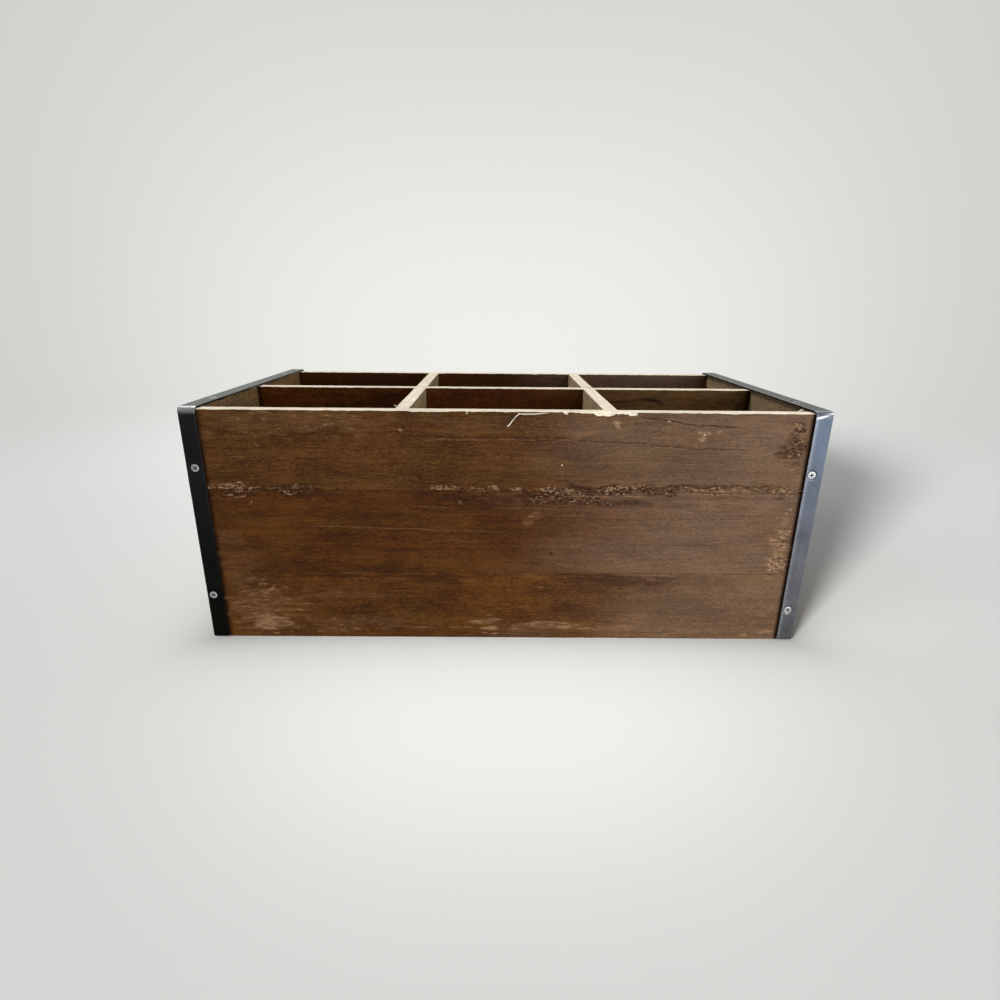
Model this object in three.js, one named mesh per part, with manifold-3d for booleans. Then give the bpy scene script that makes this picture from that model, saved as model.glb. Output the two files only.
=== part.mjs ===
// A wooden organizer box with six open compartments and a steel band over each end.
// Units are millimetres, +Z is up, and the front faces -Y.
// The origin is the middle of the footprint, on the surface that the box stands on.

import * as THREE from 'three';
import { mergeVertices } from 'three/addons/utils/BufferGeometryUtils.js';
import Module from 'manifold-3d';

// The box, measured over its boards
const boxLength = 455;
const boxDepth = 240;
const boxHeight = 180;

// Boards: each side and each end is a panel of three staves, glued edge to edge
const sideThickness = 10;
const endThickness = 10;
const topStaveHeight = 58.5;
const bottomStaveHeight = 56.5;
const bottomThickness = 6;

// Dividers: one long one dropped over short cross dividers, halved where they meet
const crossDividerCount = 2;
const longDividerThickness = 10;
const crossDividerThickness = 10;

// Clearances
const boardClearance = 0.2;
const slotClearance = 0.3;
const holeClearance = 0.3;
const cutOverrun = 2;

// Steel bands, bent over the two ends
const bandWidth = 12;
const bandThickness = 1.5;
const bandBendRadius = 4;
const bandStandOff = 0.3;
const bandFootHeight = 1;
const bandBendSegments = 6;

// Countersunk wood screws that hold the bands
const screwLength = 20;
const screwHeadRadius = 2.75;
const screwHeadEdge = 0.3;
const screwHeadCone = 1.3;
const screwCoreRadius = 1.1;
const screwThreadRadius = 1.6;
const screwThreadPitch = 2.6;
const screwPlainLength = 3.4;
const screwTipLength = 3;
const screwSink = 0.15;
const screwSides = 12;
const crossRecessLength = 3.2;
const crossRecessWidth = 0.8;
const crossRecessDepth = 1;

// Where the screws go: down from a band's top, up from the floor, in from its front and back,
// and outwards from the middle of its width
const topScrewInset = 43;
const leftHighScrewDrop = 44;
const leftLowScrewHeight = 37;
const leftLowScrewOffset = 1.6;
const rightHighScrewDrop = 46;
const rightHighScrewOffset = -1.8;
const rightLowScrewHeight = 27;
const rightLowScrewOffset = -1;

// Brads that hold the panels to the dividers and to the bottom board
const bradLength = 25;
const bradRadius = 0.7;
const bradHeadRadius = 1.2;
const bradHeadLength = 0.8;
const bradTipLength = 2;
const bradSink = 0.5;
const bradSides = 8;
const leftTopBradDrop = 13;
const rightTopBradDrop = 9;
const rightTopBradOffset = 3;
const lowBradHeight = 45;
const endTopBradDrop = 24;
const sideBottomBradSpread = 150;
const endBottomBradSpread = 70;

// Two places on the front's top edge where the wood has broken away
const wideChipCentre = 69;
const wideChipLength = 18;
const wideChipDrop = 2.5;
const wideChipInset = 2;
const smallChipCentre = 86;
const smallChipLength = 10;
const smallChipDrop = 3.5;
const smallChipInset = 1.2;

// Finishes
const sideColour = 0x5c3f27;
const endColour = 0x62482f;
const dividerColour = 0x6b5238;
const bottomColour = 0x4a3522;
const bandColour = 0x3a3d42;
const screwColour = 0xb4b6b8;
const bradColour = 0x8e8a83;
const woodRoughness = 0.7;
const bandRoughness = 0.45;
const screwRoughness = 0.3;
const bradRoughness = 0.4;

// Places worked out from the sizes above
const innerLength = boxLength - 2 * endThickness;
const innerDepth = boxDepth - 2 * sideThickness;
const dividerFoot = bottomThickness + boardClearance;
const slotMeeting = (dividerFoot + boxHeight) / 2;
const compartmentLength =
  (innerLength - crossDividerCount * crossDividerThickness) / (crossDividerCount + 1);
const bandMiddle = (boxLength - bandWidth) / 2;
const bandFront = boxDepth / 2 + bandStandOff + bandThickness;
const bandTop = boxHeight + bandStandOff + bandThickness;
const bandInnerRadius = Math.max(bandBendRadius - bandThickness, bandStandOff);

const wasm = await Module();
wasm.setup();

// Solids made from geometries, and back
function solidOf(geometry) {
  const bare = geometry.clone();
  bare.deleteAttribute('normal');
  bare.deleteAttribute('uv');
  const merged = mergeVertices(bare);
  const mesh = new wasm.Mesh({
    numProp: 3,
    vertProperties: merged.attributes.position.array,
    triVerts: new Uint32Array(merged.index.array),
  });
  return new wasm.Manifold(mesh);
}

function geometryOf(solid) {
  const mesh = solid.getMesh();
  const geometry = new THREE.BufferGeometry();
  geometry.setAttribute('position', new THREE.BufferAttribute(mesh.vertProperties, 3));
  geometry.setIndex(new THREE.BufferAttribute(mesh.triVerts, 1));
  const flat = geometry.toNonIndexed();
  flat.computeVertexNormals();
  return flat;
}

// Adds a solid made in the box's own frame, with its mesh placed at its centre
function addPiece(group, name, solid, material) {
  const geometry = geometryOf(solid);
  geometry.computeBoundingBox();
  const centre = geometry.boundingBox.getCenter(new THREE.Vector3());
  geometry.translate(-centre.x, -centre.y, -centre.z);
  const mesh = new THREE.Mesh(geometry, material);
  mesh.name = name;
  mesh.position.copy(centre);
  group.add(mesh);
}

function wood(color) {
  return new THREE.MeshStandardMaterial({ color, roughness: woodRoughness, metalness: 0 });
}

function steel(color, roughness) {
  return new THREE.MeshStandardMaterial({ color, roughness, metalness: 1 });
}

function board(low, high) {
  const size = high.clone().sub(low);
  const centre = low.clone().add(high).divideScalar(2);
  const geometry = new THREE.BoxGeometry(size.x, size.y, size.z);
  return solidOf(geometry.translate(centre.x, centre.y, centre.z));
}

// An outline drawn across the box, in its depth and height, drawn out along its length
function drawnOut(outline, start, length) {
  const geometry = new THREE.ExtrudeGeometry(outline, {
    depth: length,
    bevelEnabled: false,
    curveSegments: bandBendSegments,
  });
  const lengthwise = new THREE.Matrix4().makeBasis(
    new THREE.Vector3(0, 1, 0),
    new THREE.Vector3(0, 0, 1),
    new THREE.Vector3(1, 0, 0),
  );
  geometry.applyMatrix4(lengthwise);
  return solidOf(geometry.translate(start, 0, 0));
}

// A wedge along the top edge of a long side, to be cut away
function topEdgeWedge(side, start, length, drop, inset) {
  const faceDepth = boxDepth / 2;
  const slope = new THREE.Shape([
    new THREE.Vector2(side * (faceDepth + inset), boxHeight - 2 * drop),
    new THREE.Vector2(side * (faceDepth - 2 * inset), boxHeight + drop),
    new THREE.Vector2(side * (faceDepth + inset), boxHeight + drop),
  ]);
  return drawnOut(slope, start, length);
}

// A round solid about its own axis, with its head up along +Z
function turned(profile, sides) {
  const points = profile.map(([radius, height]) => new THREE.Vector2(radius, height));
  return solidOf(new THREE.LatheGeometry(points, sides).rotateX(Math.PI / 2));
}

// Screws, with the top of the head at zero and a ridged thread
function threadProfile() {
  const threadFoot = screwTipLength - screwLength;
  const threadTop = -screwHeadEdge - screwHeadCone - screwPlainLength;
  const turns = Math.max(1, Math.floor((threadTop - threadFoot) / screwThreadPitch));
  const pitch = (threadTop - threadFoot) / turns;
  const points = [];
  for (let i = 0; i < turns; i++) {
    points.push([screwCoreRadius, threadFoot + i * pitch]);
    points.push([screwThreadRadius, threadFoot + (i + 1 / 2) * pitch]);
  }
  return points;
}

function screwSolid() {
  const coneFoot = -screwHeadEdge - screwHeadCone;
  const body = turned(
    [
      [0, -screwLength],
      ...threadProfile(),
      [screwCoreRadius, coneFoot - screwPlainLength],
      [screwThreadRadius, coneFoot - screwPlainLength / 2],
      [screwThreadRadius, coneFoot],
      [screwHeadRadius, -screwHeadEdge],
      [screwHeadRadius, 0],
      [0, 0],
    ],
    screwSides,
  );
  const lengthwise = new THREE.Vector3(crossRecessLength, crossRecessWidth, 0).divideScalar(2);
  const crosswise = new THREE.Vector3(lengthwise.y, lengthwise.x, 0);
  const above = new THREE.Vector3(0, 0, cutOverrun);
  const floor = new THREE.Vector3(0, 0, -crossRecessDepth);
  let solid = body;
  for (const half of [lengthwise, crosswise]) {
    solid = solid.subtract(board(floor.clone().sub(half), above.clone().add(half)));
  }
  return solid;
}

// The room that a screw takes in a band and in the wood, open above its head
function screwRoom() {
  const shankRadius = screwThreadRadius + holeClearance;
  const headRadius = screwHeadRadius + holeClearance;
  return turned(
    [
      [0, -screwLength - holeClearance],
      [shankRadius, -screwLength - holeClearance],
      [shankRadius, -screwHeadEdge - screwHeadCone],
      [headRadius, -screwHeadEdge],
      [headRadius, cutOverrun],
      [0, cutOverrun],
    ],
    screwSides,
  );
}

// Brads, with the top of the head at zero
function bradSolid() {
  return turned(
    [
      [0, -bradLength],
      [bradRadius, bradTipLength - bradLength],
      [bradRadius, -bradHeadLength],
      [bradHeadRadius, -bradHeadLength / 2],
      [bradHeadRadius, 0],
      [0, 0],
    ],
    bradSides,
  );
}

function bradRoom() {
  const shankRadius = bradRadius + holeClearance;
  const headRadius = bradHeadRadius + holeClearance;
  return turned(
    [
      [0, -bradLength - holeClearance],
      [shankRadius, -bradLength - holeClearance],
      [shankRadius, -bradHeadLength - holeClearance],
      [headRadius, -bradHeadLength - holeClearance],
      [headRadius, cutOverrun],
      [0, cutOverrun],
    ],
    bradSides,
  );
}

// How a fastener turns, so that its head faces out of the surface that it goes into
const turns = {
  front: new THREE.Euler(Math.PI / 2, 0, 0),
  back: new THREE.Euler(-Math.PI / 2, 0, 0),
  left: new THREE.Euler(0, -Math.PI / 2, 0),
  right: new THREE.Euler(0, Math.PI / 2, 0),
  top: new THREE.Euler(0, 0, 0),
};

// Three legs to a band, and two screws to a leg
function screwPlaces() {
  const places = [];
  const faceDepth = bandFront - screwSink;
  const faceTop = bandTop - screwSink;
  const fromMiddle = bandFront - topScrewInset;
  const left = {
    end: 'left',
    side: -1,
    high: { height: bandTop - leftHighScrewDrop, offset: 0 },
    low: { height: leftLowScrewHeight, offset: leftLowScrewOffset },
  };
  const right = {
    end: 'right',
    side: 1,
    high: { height: bandTop - rightHighScrewDrop, offset: rightHighScrewOffset },
    low: { height: rightLowScrewHeight, offset: rightLowScrewOffset },
  };
  for (const { end, side, high, low } of [left, right]) {
    const middle = side * bandMiddle;
    for (const [level, { height, offset }] of [['high', high], ['low', low]]) {
      const x = middle + side * offset;
      places.push({ name: `${end}_front_screw_${level}`, at: [x, -faceDepth, height], face: 'front' });
      places.push({ name: `${end}_back_screw_${level}`, at: [x, faceDepth, height], face: 'back' });
    }
    places.push({ name: `${end}_top_screw_front`, at: [middle, -fromMiddle, faceTop], face: 'top' });
    places.push({ name: `${end}_top_screw_back`, at: [middle, fromMiddle, faceTop], face: 'top' });
  }
  return places;
}

// The middle of each cross divider along the box, from left to right
function crossDividerMiddles() {
  const middles = [];
  const step = compartmentLength + crossDividerThickness;
  for (let i = 1; i <= crossDividerCount; i++) {
    middles.push(i * step - (innerLength + crossDividerThickness) / 2);
  }
  return middles;
}

// Brads through the long sides, into the cross dividers and the bottom board
function sideBradPlaces() {
  const places = [];
  for (const [face, side] of [['front', -1], ['back', 1]]) {
    const y = side * (boxDepth / 2 - bradSink);
    crossDividerMiddles().forEach((x, i) => {
      const drop = x < 0 ? leftTopBradDrop : rightTopBradDrop;
      const offset = x < 0 ? 0 : rightTopBradOffset;
      const name = `${face}_brad_divider_${i + 1}`;
      places.push({ name: `${name}_high`, at: [x + offset, y, boxHeight - drop], face });
      places.push({ name: `${name}_low`, at: [x, y, lowBradHeight], face });
    });
    [-1, 0, 1].forEach((spreads, i) => {
      const name = `${face}_brad_bottom_${i + 1}`;
      const x = spreads * sideBottomBradSpread;
      places.push({ name, at: [x, y, bottomThickness / 2], face });
    });
  }
  return places;
}

// Brads through the ends, into the long divider and the bottom board
function endBradPlaces() {
  const places = [];
  for (const [face, side] of [['left', -1], ['right', 1]]) {
    const x = side * (boxLength / 2 - bradSink);
    places.push({ name: `${face}_brad_divider_high`, at: [x, 0, boxHeight - endTopBradDrop], face });
    places.push({ name: `${face}_brad_divider_low`, at: [x, 0, lowBradHeight], face });
    [-1, 1].forEach((spreads, i) => {
      const name = `${face}_brad_bottom_${i + 1}`;
      const y = spreads * endBottomBradSpread;
      places.push({ name, at: [x, y, bottomThickness / 2], face });
    });
  }
  return places;
}

// The same room cut at each place, joined into one solid
function roomsAt(places, room) {
  const rooms = places.map(({ at, face }) => {
    const turn = new THREE.Quaternion().setFromEuler(turns[face]);
    const unit = new THREE.Vector3(1, 1, 1);
    const matrix = new THREE.Matrix4().compose(new THREE.Vector3(...at), turn, unit);
    return room.transform(matrix.elements);
  });
  return rooms.reduce((joined, next) => joined.add(next));
}

function addFasteners(group, places, solid, color, roughness) {
  for (const { name, at, face } of places) {
    const mesh = new THREE.Mesh(geometryOf(solid), steel(color, roughness));
    mesh.name = name;
    mesh.position.set(...at);
    mesh.rotation.copy(turns[face]);
    group.add(mesh);
  }
}

const screws = screwPlaces();
const brads = [...sideBradPlaces(), ...endBradPlaces()];
const fastenerRooms = roomsAt(screws, screwRoom()).add(roomsAt(brads, bradRoom()));

// The heights where each stave of a panel starts and stops
const staves = [
  { stave: 'bottom', foot: 0, top: bottomStaveHeight },
  { stave: 'middle', foot: bottomStaveHeight, top: boxHeight - topStaveHeight },
  { stave: 'top', foot: boxHeight - topStaveHeight, top: boxHeight },
];

// The edge that a band turns over is taken off, as far as its bend reaches
function bendRooms(side) {
  const leg = bandInnerRadius - bandStandOff + boardClearance;
  const length = bandWidth + boardClearance + cutOverrun;
  const left = topEdgeWedge(side, -boxLength / 2 - cutOverrun, length, leg, leg);
  const right = topEdgeWedge(side, boxLength / 2 + cutOverrun - length, length, leg, leg);
  return left.add(right);
}

function chips() {
  const wideStart = wideChipCentre - wideChipLength / 2;
  const smallStart = smallChipCentre - smallChipLength / 2;
  const wide = topEdgeWedge(-1, wideStart, wideChipLength, wideChipDrop, wideChipInset);
  const small = topEdgeWedge(-1, smallStart, smallChipLength, smallChipDrop, smallChipInset);
  return wide.add(small);
}

// Long sides, lapped over the ends of the end panels
function addSides(group) {
  for (const [face, side] of [['front', -1], ['back', 1]]) {
    const inner = side * innerDepth / 2;
    const outer = side * boxDepth / 2;
    for (const { stave, foot, top } of staves) {
      const low = new THREE.Vector3(-boxLength / 2, Math.min(inner, outer), foot);
      const high = new THREE.Vector3(boxLength / 2, Math.max(inner, outer), top);
      let solid = board(low, high).subtract(fastenerRooms);
      if (stave === 'top') {
        solid = solid.subtract(bendRooms(side));
      }
      if (stave === 'top' && face === 'front') {
        solid = solid.subtract(chips());
      }
      addPiece(group, `${face}_${stave}_stave`, solid, wood(sideColour));
    }
  }
}

function addEnds(group) {
  for (const [end, side] of [['left', -1], ['right', 1]]) {
    const inner = side * innerLength / 2;
    const outer = side * boxLength / 2;
    for (const { stave, foot, top } of staves) {
      const low = new THREE.Vector3(Math.min(inner, outer), -innerDepth / 2, foot);
      const high = new THREE.Vector3(Math.max(inner, outer), innerDepth / 2, top);
      const solid = board(low, high).subtract(fastenerRooms);
      addPiece(group, `${end}_end_${stave}_stave`, solid, wood(endColour));
    }
  }
}

// Bottom board, let in between the four panels
function addBottom(group) {
  const halfLength = innerLength / 2 - boardClearance;
  const halfDepth = innerDepth / 2 - boardClearance;
  const low = new THREE.Vector3(-halfLength, -halfDepth, 0);
  const high = new THREE.Vector3(halfLength, halfDepth, bottomThickness);
  const solid = board(low, high).subtract(fastenerRooms);
  addPiece(group, 'bottom_board', solid, wood(bottomColour));
}

// Long divider, with slots that open down
function addLongDivider(group) {
  const halfLength = innerLength / 2 - boardClearance;
  const halfThickness = longDividerThickness / 2;
  const halfSlot = crossDividerThickness / 2 + slotClearance;
  const low = new THREE.Vector3(-halfLength, -halfThickness, dividerFoot);
  const high = new THREE.Vector3(halfLength, halfThickness, boxHeight);
  let solid = board(low, high).subtract(fastenerRooms);
  for (const x of crossDividerMiddles()) {
    const slotLow = new THREE.Vector3(x - halfSlot, -longDividerThickness, dividerFoot - cutOverrun);
    const slotHigh = new THREE.Vector3(x + halfSlot, longDividerThickness, slotMeeting);
    solid = solid.subtract(board(slotLow, slotHigh));
  }
  addPiece(group, 'long_divider', solid, wood(dividerColour));
}

// Cross dividers, with slots that open up
function addCrossDividers(group) {
  const halfDepth = innerDepth / 2 - boardClearance;
  const halfThickness = crossDividerThickness / 2;
  const halfSlot = longDividerThickness / 2 + slotClearance;
  const slotFloor = slotMeeting - slotClearance;
  crossDividerMiddles().forEach((x, i) => {
    const low = new THREE.Vector3(x - halfThickness, -halfDepth, dividerFoot);
    const high = new THREE.Vector3(x + halfThickness, halfDepth, boxHeight);
    const slotLow = new THREE.Vector3(x - crossDividerThickness, -halfSlot, slotFloor);
    const slotHigh = new THREE.Vector3(x + crossDividerThickness, halfSlot, boxHeight + cutOverrun);
    const solid = board(low, high).subtract(fastenerRooms).subtract(board(slotLow, slotHigh));
    addPiece(group, `cross_divider_${i + 1}`, solid, wood(dividerColour));
  });
}

// A flat strip bent over an end: up the front, along the top and down the back
function bandOutline() {
  const outerRadius = bandInnerRadius + bandThickness;
  const innerFront = bandFront - bandThickness;
  const bendDepth = bandFront - outerRadius;
  const bendHeight = bandTop - outerRadius;
  const outline = new THREE.Shape();
  outline.moveTo(-innerFront, bandFootHeight);
  outline.absarc(-bendDepth, bendHeight, bandInnerRadius, Math.PI, Math.PI / 2, true);
  outline.absarc(bendDepth, bendHeight, bandInnerRadius, Math.PI / 2, 0, true);
  outline.lineTo(innerFront, bandFootHeight);
  outline.lineTo(bandFront, bandFootHeight);
  outline.absarc(bendDepth, bendHeight, outerRadius, 0, Math.PI / 2, false);
  outline.absarc(-bendDepth, bendHeight, outerRadius, Math.PI / 2, Math.PI, false);
  outline.lineTo(-bandFront, bandFootHeight);
  return outline;
}

function addBands(group) {
  for (const [end, side] of [['left', -1], ['right', 1]]) {
    const strip = drawnOut(bandOutline(), side * bandMiddle - bandWidth / 2, bandWidth);
    const solid = strip.subtract(fastenerRooms);
    addPiece(group, `${end}_band`, solid, steel(bandColour, bandRoughness));
  }
}

const organizerBox = new THREE.Group();
const panels = new THREE.Group();
const dividers = new THREE.Group();
const bands = new THREE.Group();
const fasteners = new THREE.Group();
organizerBox.add(panels, dividers, bands, fasteners);

addSides(panels);
addEnds(panels);
addBottom(panels);
addLongDivider(dividers);
addCrossDividers(dividers);
addBands(bands);
addFasteners(fasteners, screws, screwSolid(), screwColour, screwRoughness);
addFasteners(fasteners, brads, bradSolid(), bradColour, bradRoughness);

export default organizerBox;
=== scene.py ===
"""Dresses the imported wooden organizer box: worn stained boards, steel bands, screws, brads and the stage."""
import itertools
import math

import bpy
import numpy as np
from bpy.props import FloatProperty, FloatVectorProperty, IntProperty, PointerProperty
from mathutils import Matrix, Vector


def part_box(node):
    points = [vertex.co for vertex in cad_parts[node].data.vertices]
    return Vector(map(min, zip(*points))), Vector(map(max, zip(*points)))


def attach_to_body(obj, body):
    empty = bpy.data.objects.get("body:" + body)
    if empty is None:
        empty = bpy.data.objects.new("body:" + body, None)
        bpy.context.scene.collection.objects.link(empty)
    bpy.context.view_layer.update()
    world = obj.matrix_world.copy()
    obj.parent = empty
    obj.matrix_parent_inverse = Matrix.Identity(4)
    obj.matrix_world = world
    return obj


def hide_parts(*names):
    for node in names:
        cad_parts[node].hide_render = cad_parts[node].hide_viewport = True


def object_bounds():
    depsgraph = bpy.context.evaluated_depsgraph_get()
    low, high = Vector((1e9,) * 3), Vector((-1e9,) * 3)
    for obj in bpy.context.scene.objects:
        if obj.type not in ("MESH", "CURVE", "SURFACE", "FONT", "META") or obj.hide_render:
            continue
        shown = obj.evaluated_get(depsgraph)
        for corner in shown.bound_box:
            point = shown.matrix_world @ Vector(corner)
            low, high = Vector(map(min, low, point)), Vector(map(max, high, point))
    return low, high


bl_info = {
    "name": "Organizer box",
    "version": (1, 0, 0),
    "blender": (4, 5, 0),
    "location": "View3D > Sidebar > Organizer box",
    "description": "Builds the worn boards, steel bands and fixings of a wooden organizer box",
    "category": "Object",
}

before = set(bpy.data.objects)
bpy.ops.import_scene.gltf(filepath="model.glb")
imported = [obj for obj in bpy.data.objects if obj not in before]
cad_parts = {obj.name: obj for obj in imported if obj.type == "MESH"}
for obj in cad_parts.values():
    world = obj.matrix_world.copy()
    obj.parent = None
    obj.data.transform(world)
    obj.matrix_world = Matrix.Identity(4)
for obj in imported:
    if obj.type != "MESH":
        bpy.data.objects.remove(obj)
CAD_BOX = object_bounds()
BODY = "root"
MM = 0.001
STAVES = ("top", "middle", "bottom")

# Lengths are in millimetres, apart from those of the settings and the stage, which are in metres.
# The box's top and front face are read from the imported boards.
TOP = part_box("front_top_stave")[1].z / MM
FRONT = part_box("front_top_stave")[0].y / MM
# Further than this from the middle, beside the bands, the boards are darkened as painted shade along and under
# the bands.
BAND_SHADE = 213.1

# Distances of the extra rows of points beside every edge, and the least gap between two rows.
RIM = (0.12, 0.35, 0.8, 1.4)
ROW_GAP = 0.2
# Stretches with finer rows of points: axis, start, end and step.
TEAR_ROWS = (2, TOP - 66.0, TOP - 50.0, 0.5)
CHIP_ROWS = (2, TOP - 4.2, TOP, 0.4)
TOP_ROWS = (2, TOP - 2.5, TOP, 0.4)
DIVIDER_ROWS = (2, TOP - 22.0, TOP, 0.7)
# Finer rows around a brad: how far they reach to each side, and their step.
BRAD_REACH = 2.2
BRAD_STEP = 0.45
# Faces that turn by more than this angle, in degrees, meet in a sharp edge.
SHARP_ANGLE = 55.0

# How deep each kind of wear goes into a board.
RIDGE_DEPTH = 0.08
SWELL_DEPTH = 0.1
FIBRE_DEPTH = 0.05
TEAR_DEPTH = 0.75
PIT_DEPTH = 0.55
LINE_DEPTH = 0.12
BARE_DEPTH = 0.12
# Around a brad: radius of the dent, its depth, and its depth where the hole is filled.
BRAD_DENT = 1.5
BRAD_DEPTH = 0.62
FILLED_DEPTH = 0.16
# The painted sheen, a pale layer over the stain that stands for the light on the right end: where it starts,
# over what length it grows, and how far it wanders.
SHEEN_START = -35.0
SHEEN_LENGTH = 190.0
SHEEN_DRIFT = 90.0
# The raw wood along a sawn top edge: its least height, and what waves and bites add to it.
RAW_EDGE = 0.1
RAW_WAVE = 0.55
RAW_BITE = 0.5
# A face of a board is what faces straight out by more than this share.
FACE_ON = 0.6
# Radius of the edges where two staves meet, and how far the straight walls of a halving reach.
JOINT_RADIUS = 0.16
HOLLOW_RIM = 0.6

# Line marks: the gap that stands for no line, how far a line reaches, wanders, and fades at its ends.
NO_LINE = 9.0
LINE_REACH = 2.5
LINE_WANDER = 0.9
LINE_TAPER = 12.0
# Oval marks of this half height or more have fully frayed outlines, and lower ones less.
FRAYED_TALL = 4.0

# Depth of the bump that the grain of each material gives, in metres.
WOOD_BUMP = 0.0004
STEEL_BUMP = 0.00006
ZINC_BUMP = 0.00002

# Whole numbers that scramble a place into a random value.
PRIMES = np.array([73856093, 19349663, 83492791])
SEED_PRIME = 26544357
MIXER = 1274126177
LOW_BITS = 0xFFFFFF

# The steel strips: thickness and outer radius of the bends. The screws: radius of the head and the core.
STRIP_THICK = 1.5
STRIP_BEND = 4.0
HEAD_RADIUS = 2.75
CORE_RADIUS = 1.25

# Marks on the front panel. An oval mark says: place along the box, distance below the top,
# half its length, half its height, how strong it is, and its tilt in degrees where it is tilted.
TORN = [
    (-195, 57.8, 21, 4.6, 1.0),
    (-206, 58.5, 13, 6.0, 1.0),
    (-182, 58.5, 8, 3.4, 1.0),
    (-151, 58.5, 25, 4.5, 0.52),
    (-200, 63.5, 17, 2.2, 0.5),
    (-43, 55.8, 16, 2.6, 0.95),
    (-16, 57.0, 17, 3.8, 1.0),
    (9, 57.4, 12, 3.2, 1.0),
    (28, 56.4, 20, 3.4, 1.0),
    (42, 59.2, 24, 4.0, 0.85),
    (75, 54.6, 12, 1.8, 0.8),
    (75, 58.6, 34, 4.4, 0.9),
    (94, 56.4, 28, 4.4, 0.85),
    (118, 57.6, 14, 3.8, 0.8),
    (50, 64.5, 42, 5.5, 0.5),
    (150, 57.2, 40, 3.6, 0.95),
    (172, 55.6, 24, 3.2, 0.85),
    (203, 57.0, 16, 5.4, 1.0),
    (203, 9.0, 8.0, 3.2, 0.85, -6),
    (202, 14.5, 9.0, 4.0, 0.75),
    (205, 20.5, 8.0, 5.0, 0.7),
    (203, 28.5, 9.0, 4.6, 0.6),
    (207, 37, 5, 10, 0.55),
    (208.5, 72, 4, 3.8, 0.9, 20),
    (209.5, 92.5, 8.0, 9.0, 1.0),
    (207, 112, 10.0, 15.0, 1.0),
    (208.5, 152.5, 4, 2.4, 0.7),
]
PITTED = [
    (-196, 60, 24, 4.5, 0.6),
    (-150, 59, 32, 5.5, 0.95),
    (30, 59.5, 34, 4.6, 0.85),
    (78, 57.2, 38, 5.0, 1.0),
    (112, 57.0, 18, 4.6, 1.0),
    (50, 65.5, 46, 5.5, 0.65),
    (-12, 58.5, 26, 4.6, 0.75),
    (150, 55.5, 40, 3.6, 0.75),
    (185, 55, 26, 3.8, 0.6),
    (203, 58, 14, 6, 0.6),
    (203, 14.5, 11, 6, 0.75),
    (206, 22.5, 9, 6, 0.8),
    (202, 30.5, 10, 5, 0.7),
    (209, 96, 8, 11, 0.6),
    (207, 112, 9, 15, 0.55),
]
SCUFFED = [
    (-74.5, 13.3, 2.2, 1.9, 0.85),
    (78.2, 9.2, 4.6, 2.6, 1.0, 52),
    (76.6, 7.2, 3.2, 2.2, 0.95, 10),
    (139.5, 16.0, 4.4, 5.0, 1.0, 10),
    (136.4, 14.2, 3.4, 2.4, 1.0),
    (142.4, 14.6, 3.0, 2.2, 1.0),
    (150.0, 13.6, 2.6, 2.8, 0.8),
    (172.5, 15.5, 3.0, 2.6, 0.35),
    (-177.5, 167, 10.5, 4.4, 1.0, -6),
    (-182, 168, 21, 9.0, 0.95),
    (206, 104, 9, 24, 0.75),
    (-201, 166, 9, 2.4, 0.4),
    (-183, 173, 13, 2.3, 0.85),
    (-178.5, 177.0, 4.2, 1.2, 0.9),
    (-117, 172.3, 6, 1.2, 0.75),
    (-139, 172.2, 12, 1.2, 0.35),
    (-64, 171.0, 11, 1.1, 0.6),
    (-38, 170.7, 6.5, 1.2, 0.75),
    (-28, 170.6, 6, 1.1, 0.8),
    (-13, 171.6, 11, 2.6, 1.0),
    (-15, 175.8, 3.6, 1.0, 1.0),
    (-7, 176.2, 4, 0.9, 1.0),
    (-15, 165.5, 15, 3.6, 0.75),
    (-11, 160, 3.5, 1.8, 0.4),
    (47, 170.8, 14, 2.2, 0.85),
    (28, 168.5, 34, 4.2, 0.62),
    (62, 171.4, 10, 1.6, 0.75),
    (76, 172.3, 9, 1.4, 0.7),
    (12, 172.6, 10, 1.4, 0.65),
    (95, 171.0, 30, 3.2, 0.5),
    (150, 172.5, 26, 2.2, 0.4),
    (50, 163.5, 4, 1.2, 0.4),
    (90, 172.2, 5, 1.0, 0.45),
    (98, 176.5, 3, 0.9, 0.6),
    (190, 176.0, 5.5, 1.7, 0.95),
    (205, 173.5, 11, 2.6, 0.8, -5),
    (-176, 25.8, 2.4, 1.3, 0.65, 35),
    (42, 20.2, 6.5, 1.0, 0.75),
    (19.5, 80, 6.5, 4.0, 0.42, -30),
    (-33, 67.4, 2.6, 1.8, 0.6, 40),
    (52, 16, 10, 5.5, 0.38, -10),
    (-20, 9, 50, 9, 0.16),
    (-207, 92, 12, 5, 0.24),
    (-150, 10, 72, 11, 0.3),
    (-188, 154, 38, 24, 0.42),
    (-203, 116, 20, 34, 0.22),
    (-120, 168, 60, 9, 0.25),
    (-203, 12, 22, 6, 0.2, -20),
    (-180, 139, 12, 1.4, 0.75, -37),
    (-186, 133, 8, 1.0, 0.65, -52),
    (-168, 148, 10, 2.0, 0.45),
    (-130, 142, 34, 5.5, 0.22),
    (20, 126, 12, 3, 0.2),
    (28, 135.5, 5, 0.9, 0.6),
]
BARE = [
    (139.8, 16.0, 2.8, 3.8, 0.5, 10),
    (136.8, 14.4, 2.0, 1.4, 0.5),
    (77.4, 7.8, 2.4, 1.5, 0.5, 30),
    (40.4, 38.6, 0.7, 1.3, 1.0),
    (-185, 67.6, 3.0, 0.7, 1.0),
    (113.7, 6.3, 3.4, 0.75, 0.62, -6),
    (-27.5, 1.6, 1.0, 1.1, 1.0),
    (41.5, 1.6, 2.2, 0.9, 1.0),
]
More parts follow.
